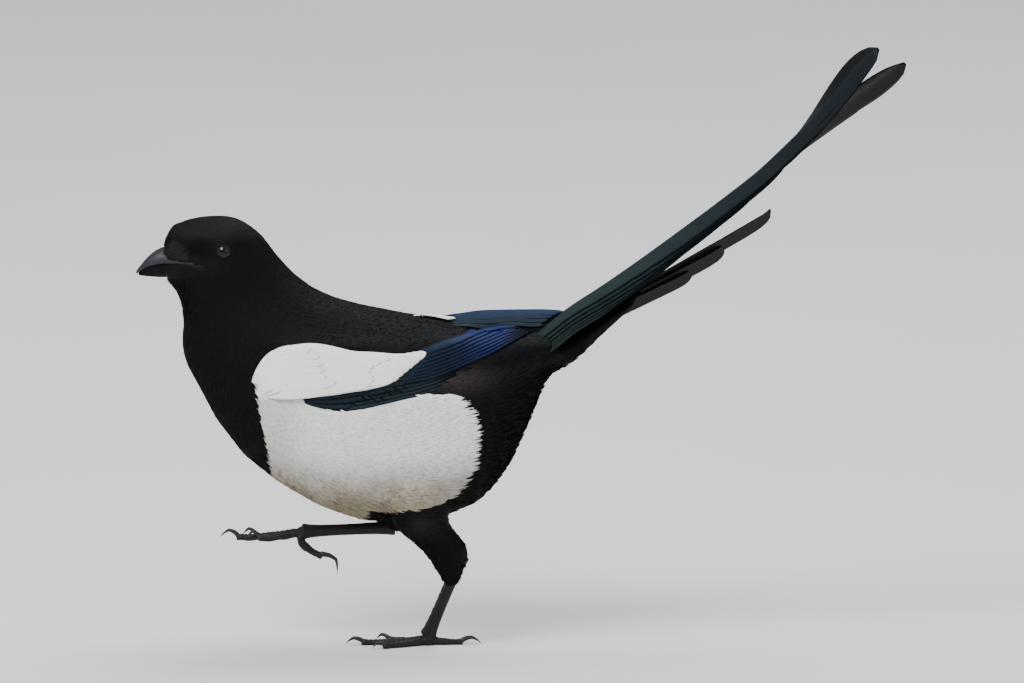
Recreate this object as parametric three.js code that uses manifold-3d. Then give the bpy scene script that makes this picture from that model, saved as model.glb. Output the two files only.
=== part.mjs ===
// Eurasian magpie, life size, in mid stride on its left foot with the long tail raised.
// Millimetres, +Z up. The bird faces -X and its left side is towards -Y.
// The origin is on the floor under the middle of the bird's box.

import * as THREE from 'three';
import { mergeVertices } from 'three/addons/utils/BufferGeometryUtils.js';
import Module from 'manifold-3d';

const wasm = await Module();
wasm.setup();

// Driving dimensions
const GAP = 0.3;
const BODY_SIDES = 28;
const HEAD_STATIONS = 6;

// Stations of the head, neck and torso from the face to the tail's root:
// back x and z, belly x and z, half width, and how square the section is
const BODY = [
  [-181.6, 198.0, -180.9, 188.6, 3.8, 2.0],
  [-179.6, 203.4, -178.4, 185.2, 5.6, 2.0],
  [-176.4, 211.2, -174.9, 182.2, 7.9, 2.0],
  [-170.6, 215.0, -171.9, 177.4, 10.4, 2.0],
  [-159.1, 217.6, -170.0, 170.2, 13.8, 2.1],
  [-143.6, 216.9, -169.9, 162.0, 17.2, 2.1],
  [-130.1, 207.7, -170.5, 154.3, 19.8, 2.0],
  [-118.6, 192.4, -169.0, 144.7, 23.6, 2.0],
  [-103.6, 180.4, -161.9, 131.0, 29.4, 2.1],
  [-86.6, 174.0, -145.6, 103.1, 35.0, 2.2],
  [-65.6, 169.6, -119.1, 81.2, 38.0, 2.3],
  [-45.6, 165.5, -86.6, 65.5, 38.2, 2.3],
  [-26.6, 162.4, -54.1, 63.5, 35.4, 2.3],
  [-9.1, 161.6, -26.6, 71.1, 30.4, 2.2],
  [2.4, 161.2, -10.1, 89.9, 24.6, 2.1],
  [10.4, 161.0, 1.9, 116.8, 19.2, 2.0],
  [16.4, 161.6, 9.9, 136.1, 14.6, 2.0],
  [21.0, 162.8, 19.4, 149.8, 9.6, 2.0],
];

// Thin cuts that part the head from the neck and the neck from the torso
const HEAD_CUT = { back: [-133, 211], belly: [-171.5, 166] };
const NECK_CUT = { back: [-112, 186.5], belly: [-165, 137] };

// Bill: stations from the tip to the root, top x and z, bottom x and z, half width
const UPPER_BILL = [
  [-193.5, 189.0, -193.3, 188.3, 0.4],
  [-192.9, 191.4, -192.1, 188.8, 1.2],
  [-191.2, 194.6, -190.0, 189.9, 2.1],
  [-188.4, 197.2, -187.1, 191.6, 3.1],
  [-184.0, 199.7, -183.0, 193.2, 4.3],
  [-178.6, 202.3, -178.0, 193.7, 5.6],
  [-170.0, 204.0, -170.0, 193.3, 6.6],
];
const LOWER_BILL = [
  [-191.6, 188.5, -191.4, 187.9, 0.5],
  [-189.4, 189.6, -189.1, 187.3, 1.7],
  [-186.0, 191.4, -185.5, 186.9, 2.9],
  [-181.3, 192.8, -181.3, 186.6, 4.1],
  [-176.0, 193.1, -176.0, 186.5, 5.0],
  [-170.0, 192.7, -170.0, 187.4, 5.6],
];
const UPPER_WIDEST = 0.22;
const LOWER_WIDEST = 0.8;
const MOUTH_LINE = [[-182, 193.0], [-173.6, 193.3], [-166.6, 192.7], [-157.2, 190.8]];
const MOUTH_OPEN = 0.7;

// Nasal bristles: degrees down from the top, and the station on the bill where each lock ends
const BRISTLES = [[-74, 5.7], [-52, 5.3], [-28, 5.0], [0, 4.7], [28, 5.0], [52, 5.3], [74, 5.7]];
const BRISTLE_WIDE = 2.0;
const BRISTLE_DEEP = 0.8;

// Eyes
const EYE_AT = [-149.4, 202.8];
const EYEBALL = 5.2;
const EYE_SHOWS = 4.2;
const LID = 0.8;

// Relief of the face: place on one side, reach and height, negative for a hollow
const FACE_RELIEF = [
  { at: [-156.5, 12.5, 209.0], reach: 6.5, height: 1.5 },
  { at: [-147.0, 14.0, 210.0], reach: 5.5, height: 1.1 },
  { at: [-160.5, 11.5, 201.5], reach: 5.5, height: -1.9 },
  { at: [-150.0, 15.5, 191.5], reach: 9.0, height: 1.2 },
];

// Wing sheet: stations from the shoulder to the wing tip, lower edge x, y, z and
// upper edge x, y, z, for the right wing. The left wing is its mirror image.
const WING = [
  [-131.0, 31.5, 136.0, -126.0, 29.0, 153.0],
  [-113.0, 35.8, 131.0, -108.0, 30.0, 159.0],
  [-93.0, 38.2, 126.6, -90.0, 29.5, 159.0],
  [-71.5, 38.8, 128.6, -71.0, 27.0, 158.6],
  [-51.0, 36.8, 134.4, -53.0, 21.0, 160.4],
  [-36.6, 33.0, 144.6, -36.6, 12.0, 163.0],
  [-21.0, 27.6, 153.2, -20.0, 3.2, 164.6],
  [-2.0, 20.6, 159.6, 0.0, 1.4, 165.6],
  [14.0, 12.4, 163.6, 16.0, 1.2, 166.4],
  [19.5, 7.4, 165.6, 20.5, 1.2, 167.0],
];
// The slab that carries the feathers, below the sheet at the shoulder and at its rear end
const WING_UNDER = [-6.4, -2.8];
const WING_TOP = [-3.0, -1.4];
const WING_SLAB_END = 0.84;
const WING_ROUND = 2.3;
const WING_AXIS_Z = 125;
// The room between the wing and its pocket in the body, and the wing's length and girth for it
const WING_ROOM = 0.6;
const WING_LONG = 60;
const WING_GIRTH = 30;
const WING_CLEAR = 14;

// Wing feathers, tier by tier, each tier from its lowest feather to its highest. Root and tip are
// places on the sheet, lift is above it, and tilt is how far the upper edge dips under the next vane.
// A list runs evenly from the first feather to the last.
const WING_TIERS = {
  primaries: {
    count: 3, half: 4.4, thick: 0.3, tilt: 0.1, step: 0.75, long: true,
    rootS: [0.3, 0.42], rootV: [0.08, 0.34], tipS: [0.78, 0.9, 1.0], tipV: [0.07, 0.14, 0.28],
    lift: [-4.6, -2.4, -1.9],
  },
  secondaries: {
    count: 3, half: 5.4, thick: 0.3, tilt: 0.1, step: 0.5, long: true,
    rootS: [0.36, 0.42], rootV: [0.42, 0.7], tipS: [0.97, 0.91, 0.84], tipV: [0.44, 0.72],
    lift: [-4.4, -1.2, -0.6],
  },
  tertials: {
    count: 3, half: 7.0, thick: 0.35, tilt: 0.1, step: 0.3, long: true,
    rootS: [0.44, 0.5], rootV: [0.8, 1.0], tipS: [0.93, 0.86, 0.77], tipV: [0.84, 0.98],
    lift: [-4.2, -0.1, 0.4],
  },
  greaterCoverts: {
    count: 4, half: 5.8, thick: 0.35, tilt: 0.12, step: 0.1, long: false,
    rootS: [0.2, 0.4], rootV: [0.1, 0.8], tipS: [0.42, 0.5, 0.57, 0.63], tipV: [0.1, 0.82],
    lift: [-4.8, -0.2, 0.3],
  },
  rearScapulars: {
    count: 3, half: 7.6, thick: 0.4, tilt: 0.08, step: 0.2, long: false,
    rootS: [0.18, 0.3], rootV: [0.3, 0.94], tipS: [0.36, 0.43, 0.49], tipV: [0.24, 0.54, 0.9],
    lift: [-4.6, 0.6, 1.1],
  },
  middleScapulars: {
    count: 3, half: 8.0, thick: 0.4, tilt: 0.08, step: 0.2, long: false,
    rootS: [0.08, 0.16], rootV: [0.24, 0.94], tipS: [0.24, 0.29, 0.32], tipV: [0.16, 0.52, 0.92],
    lift: [-4.4, 0.9, 1.3],
  },
  frontScapulars: {
    count: 3, half: 8.4, thick: 0.4, tilt: 0.08, step: 0.2, long: false,
    rootS: [-0.01, 0.01], rootV: [0.2, 0.9], tipS: [0.14, 0.17, 0.19], tipV: [0.12, 0.5, 0.88],
    lift: [-3.6, 1.1, 1.5],
  },
};

// Tail: its root, rise in degrees, the cut from the torso, and the step and half thickness of its layers
const TAIL_ROOT = [3.4, 148.8];
const TAIL_RISE = 36.3;
const TAIL_CUT = 21;
const TAIL_LAYER = 0.95;
const TAIL_THICK = 0.34;

// Tail feathers from the middle pair outwards, near side first: length, half width,
// place across at the root and the tip, layer counted down from the top, drop and curl in degrees
const TAIL_FEATHERS = [
  { side: -1, long: 235.5, half: 12.5, root: 2.0, tip: 5.0, layer: 0, drop: 0, curl: 14, tilt: 0.12 },
  { side: 1, long: 242, half: 12.5, root: 2.0, tip: 5.0, layer: 1, drop: 0, curl: 3.2, tilt: 0.0 },
  { side: -1, long: 205, half: 12.0, root: 3.2, tip: 7.5, layer: 2, drop: 0.3, curl: 9, tilt: 0.14 },
  { side: 1, long: 200, half: 12.0, root: 3.2, tip: 7.5, layer: 3, drop: 0.3, curl: 3, tilt: 0.02 },
  { side: -1, long: 169.5, half: 11.0, root: 4.4, tip: 10.8, layer: 4, drop: 0.2, curl: 7, tilt: 0.16 },
  { side: 1, long: 168, half: 11.0, root: 4.4, tip: 12, layer: 4, drop: 1.6, curl: 3, tilt: 0.2 },
  { side: -1, long: 147, half: 10.5, root: 5.6, tip: 12.6, layer: 5, drop: 0.2, curl: 6, tilt: 0.18 },
  { side: 1, long: 140, half: 10.5, root: 5.6, tip: 16, layer: 5, drop: 6.9, curl: 0, tilt: 0.36 },
  { side: -1, long: 129.5, half: 10.0, root: 6.8, tip: 14.2, layer: 6, drop: 0.2, curl: 5, tilt: 0.2 },
  { side: 1, long: 110, half: 10.0, root: 6.8, tip: 18, layer: 6, drop: 9.6, curl: 0, tilt: 0.4 },
  { side: -1, long: 103.6, half: 9.0, root: 8.0, tip: 15.6, layer: 7, drop: 0.2, curl: 4, tilt: 0.22 },
  { side: 1, long: 90, half: 9.0, root: 8.0, tip: 19, layer: 7, drop: 12.0, curl: 0, tilt: 0.44 },
];
const TAIL_COVERTS = 5;

// Legs: the feathered thigh's stations, front x and z, rear x and z, middle y, half width
const THIGH_LEFT = [
  [-77, 100, -40, 102, -21, 13],
  [-72, 80, -38.5, 84, -21, 13],
  [-67, 68, -37.3, 72, -20.5, 11.5],
  [-61.1, 60.4, -37.0, 66.0, -20, 10],
  [-53.9, 55.1, -33.3, 59.7, -19, 8.6],
  [-48.1, 48.4, -28.1, 52.9, -17.5, 7.2],
  [-44.1, 41.6, -28.1, 46.7, -16, 6.0],
  [-41.1, 36.3, -30.0, 40.4, -15, 4.4],
  [-38.9, 32.4, -32.8, 33.4, -14, 2.9],
];
const THIGH_RIGHT = [
  [-97, 100, -62, 102, 21, 13],
  [-91.6, 84, -60.6, 88, 20.5, 12.5],
  [-85.6, 72.8, -59.4, 75.3, 19.5, 11],
  [-80, 65.4, -58.8, 66.8, 18.5, 9],
  [-75.5, 60.8, -58.8, 60.2, 17.5, 6.6],
  [-72.6, 58.6, -61.6, 53.8, 16.5, 4.4],
];
const TARSUS_DEEP = 2.5;
const TARSUS_WIDE = 1.9;
const HEEL_LEFT = [-30.8, -15.5, 47.5];
const ANKLE_LEFT = [-47.6, -2.5, 5.2];
const HEEL_RIGHT = [-64.8, 16.5, 56.4];
const ANKLE_RIGHT = [-110.4, 12.0, 55.2];

// Toes: length without the claw, heading away from straight ahead, and radius.
// 1 is the hind toe, 2 the inner, 3 the middle and 4 the outer toe.
const TOES = [
  { long: 17, heading: 176, radius: 2.0, claw: 11.5 },
  { long: 22, heading: 24, radius: 1.75, claw: 8 },
  { long: 33, heading: 0, radius: 1.9, claw: 10 },
  { long: 24, heading: -24, radius: 1.75, claw: 8 },
];

// Colours
const BLACK = 0x0b0b0e;
const WHITE = 0xe9e7e2;
const BLUE = 0x1b2c5a;
const HORN = 0x1a1a1c;
const EYE_BROWN = 0x17100c;

const model = new THREE.Group();

const vec = (x, y, z) => new THREE.Vector3(x, y, z);
const mix = (a, b, f) => a + (b - a) * f;
const radians = THREE.MathUtils.degToRad;
const SIDES = { left: -1, right: 1 };

// Evenly spaced places from one value to another
function spaced(from, to, count) {
  return Array.from({ length: count + 1 }, (_, k) => mix(from, to, k / count));
}

// A smooth row between rows of numbers
function smoothRow(rows, t) {
  const last = rows.length - 1;
  const k = Math.max(0, Math.min(Math.floor(t), last - 1));
  const f = t - k;
  const b = rows[k];
  const c = rows[k + 1];
  const a = rows[k - 1] ?? b.map((value, j) => 2 * value - c[j]);
  const d = rows[k + 2] ?? c.map((value, j) => 2 * value - b[j]);
  return b.map((value, j) => {
    const pull = 2 * a[j] - 5 * value + 4 * c[j] - d[j];
    const bend = 3 * value - a[j] - 3 * c[j] + d[j];
    return value + 0.5 * ((c[j] - a[j]) * f + pull * f ** 2 + bend * f ** 3);
  });
}

// A closed solid from a geometry, turned so that its faces point out
function toSolid(geometry) {
  const bare = geometry.clone();
  bare.deleteAttribute('normal');
  bare.deleteAttribute('uv');
  const merged = mergeVertices(bare, 1e-5);
  const vertProperties = new Float32Array(merged.attributes.position.array);
  const triVerts = new Uint32Array(merged.index.array);
  const corner = (i) => vec().fromArray(vertProperties, triVerts[i] * 3);
  let volume = 0;
  for (let i = 0; i < triVerts.length; i += 3) {
    volume += corner(i).dot(corner(i + 1).cross(corner(i + 2)));
  }
  if (volume < 0) {
    triVerts.reverse();
  }
  return new wasm.Manifold(new wasm.Mesh({ numProp: 3, vertProperties, triVerts }));
}

// A closed solid over rings of points, with a fan over each end
function skinRings(rings) {
  const count = rings[0].length;
  const middle = (ring) => ring.reduce((sum, p) => sum.add(p), vec(0, 0, 0)).divideScalar(count);
  const points = [...rings.flat(), middle(rings[0]), middle(rings.at(-1))];
  const faces = [];
  const lastRing = (rings.length - 1) * count;
  for (let i = 0; i < count; i++) {
    const next = (i + 1) % count;
    for (let start = 0; start < lastRing; start += count) {
      faces.push(start + i, start + next, start + count + i);
      faces.push(start + next, start + count + next, start + count + i);
    }
    faces.push(next, i, points.length - 2);
    faces.push(lastRing + i, lastRing + next, points.length - 1);
  }
  const geometry = new THREE.BufferGeometry().setFromPoints(points);
  geometry.setIndex(faces);
  return toSolid(geometry);
}

// A solid swept along a curve, with its own width and depth at each place
function sweep(curve, { across, wide, deep, sides = 8, places = spaced(0, 1, 8) }) {
  const rings = [];
  for (const u of places) {
    const centre = curve.getPointAt(u);
    const along = curve.getTangentAt(u);
    const side = across(u).clone().projectOnPlane(along).normalize();
    const lift = vec().crossVectors(along, side);
    const ring = [];
    for (let i = 0; i < sides; i++) {
      const angle = 2 * Math.PI * i / sides;
      const out = side.clone().multiplyScalar(Math.cos(angle) * wide(u));
      ring.push(out.addScaledVector(lift, Math.sin(angle) * deep(u)).add(centre));
    }
    rings.push(ring);
  }
  return skinRings(rings);
}

function joinAll(solids) {
  return solids.reduce((sum, solid) => sum.add(solid));
}

// The part of a solid on the side of a plane that its normal points to, in x and z
function keepSide(solid, point, normal, clearance) {
  const [nx, nz] = normal;
  const size = Math.hypot(nx, nz);
  const offset = (point[0] * nx + point[1] * nz) / size + clearance;
  return solid.trimByPlane([nx / size, 0, nz / size], offset);
}

// One named mesh from a solid: only its largest closed surface
function addPiece(name, solid, color, roughness, metalness = 0) {
  const parts = solid.decompose();
  const largest = parts.reduce((best, part) => (part.volume() > best.volume() ? part : best));
  const { vertProperties, triVerts } = largest.getMesh();
  const geometry = new THREE.BufferGeometry();
  geometry.setAttribute('position', new THREE.BufferAttribute(vertProperties, 3));
  geometry.setIndex(new THREE.BufferAttribute(triVerts, 1));
  geometry.computeVertexNormals();
  const mesh = new THREE.Mesh(geometry, new THREE.MeshStandardMaterial({ color, roughness, metalness }));
  mesh.name = name;
  model.add(mesh);
}

// Body: a point on the skin at station t and angle, counted from the back over the left side
function bodyPoint(t, angle, grow) {
  const [backX, backZ, bellyX, bellyZ, half, power] = smoothRow(BODY, t);
  const up = vec((backX - bellyX) / 2, 0, (backZ - bellyZ) / 2);
  const reach = (value) => Math.sign(value) * Math.abs(value) ** (2 / power);
  const out = up.clone().setLength(up.length() + grow).multiplyScalar(reach(Math.cos(angle)));
  out.y = -(half + grow) * reach(Math.sin(angle));
  return vec((backX + bellyX) / 2, 0, (backZ + bellyZ) / 2).add(out);
}

// Raises or sinks a point of the face along its way out from the middle of the head
function faceRelief(point, middle) {
  let height = 0;
  for (const form of FACE_RELIEF) {
    const [x, y, z] = form.at;
    const away = Math.hypot(point.x - x, Math.abs(point.y) - y, point.z - z) / form.reach;
    height += form.height * Math.exp(-away * away);
  }
  const out = point.clone().sub(middle).normalize();
  return point.addScaledVector(out, height);
}

// The whole body's skin, with closer rings on the head than behind it
function bodyLoft(grow) {
  const last = BODY.length - 1;
  const onHead = spaced(0, HEAD_STATIONS, HEAD_STATIONS * 3);
  const behind = spaced(HEAD_STATIONS, last, Math.round((last - HEAD_STATIONS) * 1.5)).slice(1);
  const rings = [];
  for (const t of [...onHead, ...behind]) {
    const ring = [];
    for (let i = 0; i < BODY_SIDES; i++) {
      ring.push(bodyPoint(t, 2 * Math.PI * i / BODY_SIDES, grow));
    }
    const middle = ring[0].clone().add(ring[BODY_SIDES / 2]).divideScalar(2);
    rings.push(ring.map((point) => faceRelief(point, middle)));
  }
  return skinRings(rings);
}

// The half width of the body at a place in side view, and the way out from its skin
function skinAt(x, z) {
  const offLine = (t) => {
    const [backX, backZ, bellyX, bellyZ] = smoothRow(BODY, t);
    return (bellyX - backX) * (z - backZ) - (bellyZ - backZ) * (x - backX);
  };
  let low = 0;
  let high = BODY.length - 1;
  for (let turn = 0; turn < 40; turn++) {
    const t = (low + high) / 2;
    if (offLine(t) > 0) {
      low = t;
    } else {
      high = t;
    }
  }
  const [backX, backZ, bellyX, bellyZ, half, power] = smoothRow(BODY, low);
  const chord = vec(backX - bellyX, 0, backZ - bellyZ);
  const middle = vec((backX + bellyX) / 2, 0, (backZ + bellyZ) / 2);
  const level = vec(x, 0, z).sub(middle).dot(chord) * 2 / chord.lengthSq();
  return half * Math.max(0, 1 - Math.abs(level) ** power) ** (1 / power);
}

function skinOut(x, z) {
  const step = 1;
  const alongX = (skinAt(x + step, z) - skinAt(x - step, z)) / (2 * step);
  const alongZ = (skinAt(x, z + step) - skinAt(x, z - step)) / (2 * step);
  return vec(-alongX, 1, -alongZ).normalize();
}

// Bill: an arched section, widest near the line where the two halves meet,
// with a point's angle counted from the top over the left side
function billPoint(rows, widestAt, t, angle, grow) {
  const [topX, topZ, lowX, lowZ, half] = smoothRow(rows, t);
  const top = vec(topX, 0, topZ + grow);
  const low = vec(lowX, 0, lowZ - grow);
  const edge = Math.cos(angle) > 0 ? top : low;
  const point = low.clone().lerp(top, widestAt).lerp(edge, Math.abs(Math.cos(angle)));
  point.y = -(half + grow) * Math.sin(angle);
  return point;
}

function billHalf(rows, widestAt, grow) {
  const sides = 12;
  const around = spaced(0, 2 * Math.PI, sides).slice(1);
  const stations = spaced(0, rows.length - 1, (rows.length - 1) * 2);
  return skinRings(stations.map((t) => around.map((angle) => billPoint(rows, widestAt, t, angle, grow))));
}

// Locks that lie forwards from the face over the nostrils and the bill's root
function nasalBristles() {
  return BRISTLES.map(([degrees, endsAt]) => {
    const angle = radians(degrees);
    const curve = new THREE.CatmullRomCurve3([
      bodyPoint(3.4, angle, -1.4),
      bodyPoint(2.2, angle, 0.2),
      bodyPoint(1.2, angle, 0.4),
      billPoint(UPPER_BILL, UPPER_WIDEST, endsAt, angle, BRISTLE_DEEP),
    ]);
    return sweep(curve, {
      across: () => vec(0, Math.cos(angle), -Math.sin(angle)),
      wide: (u) => BRISTLE_WIDE * (1 - 0.75 * u * u),
      deep: (u) => BRISTLE_DEEP * (1 - 0.5 * u * u),
      sides: 4,
      places: [0, 0.4, 0.8, 1],
    });
  });
}

// The open line of the mouth, from the bill back to the gape under the eye
function mouthSlit() {
  const halfOpen = MOUTH_OPEN / 2;
  const halfWidth = 25;
  const rings = MOUTH_LINE.map(([x, z], k) => {
    const open = k === MOUTH_LINE.length - 1 ? 0.1 : halfOpen;
    return [
      vec(x, -halfWidth, z - open),
      vec(x, halfWidth, z - open),
      vec(x, halfWidth, z + open),
      vec(x, -halfWidth, z + open),
    ];
  });
  return skinRings(rings);
}

// Where an eye sits: its centre and the way that it looks
function eyePlace(side) {
  const [x, z] = EYE_AT;
  const out = skinOut(x, z);
  const sunk = Math.sqrt(EYEBALL ** 2 - EYE_SHOWS ** 2);
  const centre = vec(x, skinAt(x, z), z).addScaledVector(out, -sunk);
  return { centre: centre.multiply(vec(1, side, 1)), out: out.multiply(vec(1, side, 1)), sunk };
}

function ball(centre, radius, sides) {
  const sphere = new THREE.SphereGeometry(radius, sides, Math.round(sides * 0.6));
  sphere.translate(centre.x, centre.y, centre.z);
  return toSolid(sphere);
}

function eyelid(side) {
  const { centre, out, sunk } = eyePlace(side);
  const ring = new THREE.TorusGeometry(EYE_SHOWS + LID * 0.6, LID, 5, 18);
  ring.applyQuaternion(new THREE.Quaternion().setFromUnitVectors(vec(0, 0, 1), out));
  const place = centre.clone().addScaledVector(out, sunk);
  ring.translate(place.x, place.y, place.z);
  return toSolid(ring);
}

function buildHead(wholeBody) {
  const along = vec(HEAD_CUT.back[0] - HEAD_CUT.belly[0], 0, HEAD_CUT.back[1] - HEAD_CUT.belly[1]);
  let head = keepSide(wholeBody, HEAD_CUT.back, [-along.z, along.x], GAP / 2);
  head = joinAll([head, eyelid(SIDES.left), eyelid(SIDES.right), ...nasalBristles()]);
  head = head.subtract(billHalf(UPPER_BILL, UPPER_WIDEST, GAP)).subtract(billHalf(LOWER_BILL, LOWER_WIDEST, GAP));
  head = head.subtract(mouthSlit());
  for (const [name, side] of Object.entries(SIDES)) {
    const { centre } = eyePlace(side);
    head = head.subtract(ball(centre, EYEBALL + GAP, 14));
    addPiece(`eye_${name}`, ball(centre, EYEBALL, 14), EYE_BROWN, 0.08);
  }
  addPiece('head', head, BLACK, 0.7);
  addPiece('bill_upper', billHalf(UPPER_BILL, UPPER_WIDEST, 0), HORN, 0.4);
  addPiece('bill_lower', billHalf(LOWER_BILL, LOWER_WIDEST, 0), HORN, 0.4);
}

// Wing sheet of one side: s runs from the shoulder to the tip, v from the lower to the upper edge.
// A lift moves a point straight away from the bird's long axis.
function wingPoint(s, v, lift, side) {
  const [lowX, lowY, lowZ, highX, highY, highZ] = smoothRow(WING, s * (WING.length - 1));
  const turn = v * Math.PI / 2;
  const inward = Math.max(0, Math.cos(turn)) ** (2 / WING_ROUND);
  const upward = Math.max(0, Math.sin(turn)) ** (2 / WING_ROUND);
  const point = vec(mix(lowX, highX, v), mix(highY, lowY, inward), mix(lowZ, highZ, upward));
  const out = vec(0, point.y, point.z - WING_AXIS_Z).normalize();
  return point.addScaledVector(out, lift).multiply(vec(1, side, 1));
}

// A slab over the wing sheet at the places sAt and vAt, between two lifts
function wingSlab(side, sAt, vAt, inner, outer, pastLowerEdge = 0) {
  const rings = sAt.map((s) => {
    const row = ([atShoulder, atTip]) => {
      const lift = mix(atShoulder, atTip, Math.min(1, s / WING_SLAB_END));
      const points = vAt.map((v) => wingPoint(s, v, lift, side));
      const outward = points[0].clone().sub(wingPoint(s, 0.5, lift, side)).setLength(1);
      points[0].addScaledVector(outward, pastLowerEdge);
      return points;
    };
    return [...row(outer), ...row(inner).reverse()];
  });
  return skinRings(rings);
}

const WING_S = spaced(0, WING_SLAB_END, 12);
const WING_V = spaced(0.012, 0.985, 4);

// The room that a wing has in the body, less a margin all round
function wingPocket(side, margin) {
  const room = WING_ROOM - margin;
  const pastEnd = room / WING_LONG;
  const alongWing = [-pastEnd, ...WING_S, 0.92, 1 + pastEnd];
  const under = WING_UNDER.map((lift) => lift - room);
  const outer = WING_CLEAR - margin;
  const around = [0, ...WING_V, 1 - margin / WING_GIRTH];
  return wingSlab(side, alongWing, around, under, [outer, outer], room);
}

// The value at f of the way along a list of values
function valueAt(values, f) {
  const place = f * (values.length - 1);
  const k = Math.min(Math.floor(place), values.length - 2);
  return mix(values[k], values[k + 1], place - k);
}

// One vane over the wing sheet: a flat lens with a rounded tip, rising from the slab at its root
function wingVane({ rootS, rootV, tipS, tipV, half, thick, tilt, lift, long }) {
  const on = (u, height, higher) => wingPoint(mix(rootS, tipS, u), mix(rootV, tipV, u) + higher, height, SIDES.right);
  const path = spaced(0, 1, 4).map((u) => on(u, u < 0.5 ? valueAt(lift, Math.sqrt(u / 2)) : valueAt(lift, u), 0));
  const up = 0.04;
  return sweep(new THREE.CatmullRomCurve3(path), {
    across: (u) => {
      const rising = on(u, 0, up).sub(on(u, 0, -up)).normalize();
      const out = on(u, 1, 0).sub(on(u, 0, 0));
      return rising.addScaledVector(out, -tilt);
    },
    wide: (u) => half * mix(0.5, 1, Math.min(1, u * 2.2)) * Math.sqrt(1 - 0.86 * u ** 7),
    deep: (u) => thick * (1 - 0.4 * u),
    sides: 4,
    places: long ? [0, 0.45, 0.88, 1] : [0, 0.5, 0.88, 1],
  });
}

function wingTier(tier) {
  return spaced(0, 1, tier.count - 1).map((f, k) => wingVane({
    ...tier,
    lift: tier.lift.map((height) => height + k * tier.step),
    rootS: valueAt(tier.rootS, f),
    rootV: valueAt(tier.rootV, f),
    tipS: valueAt(tier.tipS, f),
    tipV: valueAt(tier.tipV, f),
  }));
}

// The right wing, clear of the body wherever the pocket isn't cut for it
function wingSolid() {
  const side = SIDES.right;
  const slab = wingSlab(side, WING_S, WING_V, WING_UNDER, WING_TOP);
  const vanes = Object.values(WING_TIERS).flatMap(wingTier);
  const keepOut = bodyLoft(GAP).subtract(wingPocket(side, GAP));
  return joinAll([slab, ...vanes]).subtract(keepOut).trimByPlane([0, side, 0], GAP / 2);
}

// The same solid on the bird's other side
function otherSide(solid) {
  const { vertProperties, triVerts } = solid.getMesh();
  const geometry = new THREE.BufferGeometry();
  geometry.setAttribute('position', new THREE.BufferAttribute(vertProperties, 3));
  geometry.setIndex(new THREE.BufferAttribute(triVerts, 1));
  return toSolid(geometry.scale(1, -1, 1));
}

function buildWings() {
  const right = wingSolid();
  addPiece('wing_right', right, BLUE, 0.45);
  addPiece('wing_left', otherSide(right), BLUE, 0.45);
}

// The path of a tail feather from its root, below the middle line by its layer
function tailCurve({ side, long, root, tip, layer, drop, curl }) {
  const count = 8;
  const rise = radians(TAIL_RISE);
  const down = layer * TAIL_LAYER;
  let place = vec(TAIL_ROOT[0] + Math.sin(rise) * down, side * root, TAIL_ROOT[1] - Math.cos(rise) * down);
  const points = [place];
  for (let k = 0; k < count; k++) {
    const angle = radians(TAIL_RISE - drop + curl * ((k + 0.5) / count) ** 2);
    const step = long / count;
    const sideways = side * (tip - root) / count;
    place = place.clone().add(vec(Math.cos(angle) * step, sideways, Math.sin(angle) * step));
    points.push(place);
  }
  return new THREE.CatmullRomCurve3(points);
}

// One tail feather: narrow at the root, parallel, with a rounded tip
function tailVane(feather) {
  return sweep(tailCurve(feather), {
    across: () => vec(0, 1, -feather.side * feather.tilt),
    wide: (u) => feather.half * mix(0.3, 1, Math.min(1, u * 2.4)) * Math.sqrt(1 - 0.9 * u ** 24),
    deep: (u) => TAIL_THICK * (1 - 0.35 * u),
    sides: 4,
    places: [0, 0.2, 0.42, 0.64, 0.84, 0.96, 1],
  });
}

// The feathered root that carries the tail, a flattened cone
function tailCore() {
  const path = { side: 1, long: 52, root: 0, tip: 0, layer: 3.4, drop: 0, curl: 0 };
  return sweep(tailCurve(path), {
    across: () => vec(0, 1, 0),
    wide: (u) => mix(12.5, 7, u) * Math.sqrt(1 - 0.8 * u ** 6),
    deep: (u) => mix(6.5, 2.4, u) * Math.sqrt(1 - 0.8 * u ** 6),
    sides: 10,
    places: spaced(0, 1, 5),
  });
}

// Coverts fanned over the tail's root, above when facing is 1 and below when it is -1
function tailCoverts(facing) {
  return spaced(-1, 1, TAIL_COVERTS - 1).map((f) => {
    const side = Math.sign(f) || 1;
    const layer = facing > 0 ? mix(-0.4, 1.6, Math.abs(f)) : mix(8.2, 7.0, Math.abs(f));
    const long = mix(58, 44, Math.abs(f)) * (facing > 0 ? 1 : 0.92);
    const path = { side, long, root: 8 * Math.abs(f), tip: 13 * Math.abs(f), layer, drop: 0, curl: 0 };
    return sweep(tailCurve(path), {
      across: () => vec(0, 1, -side * Math.abs(f) * 0.45 * facing),
      wide: (u) => 6.8 * Math.sqrt(1 - 0.86 * u ** 5),
      deep: (u) => mix(1.8, 0.5, u),
      sides: 4,
      places: [0, 0.4, 0.75, 1],
    });
  });
}

function buildTailWhole() {
  const feathers = TAIL_FEATHERS.map(tailVane);
  return joinAll([tailCore(), ...feathers, ...tailCoverts(1), ...tailCoverts(-1)]);
}

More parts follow.
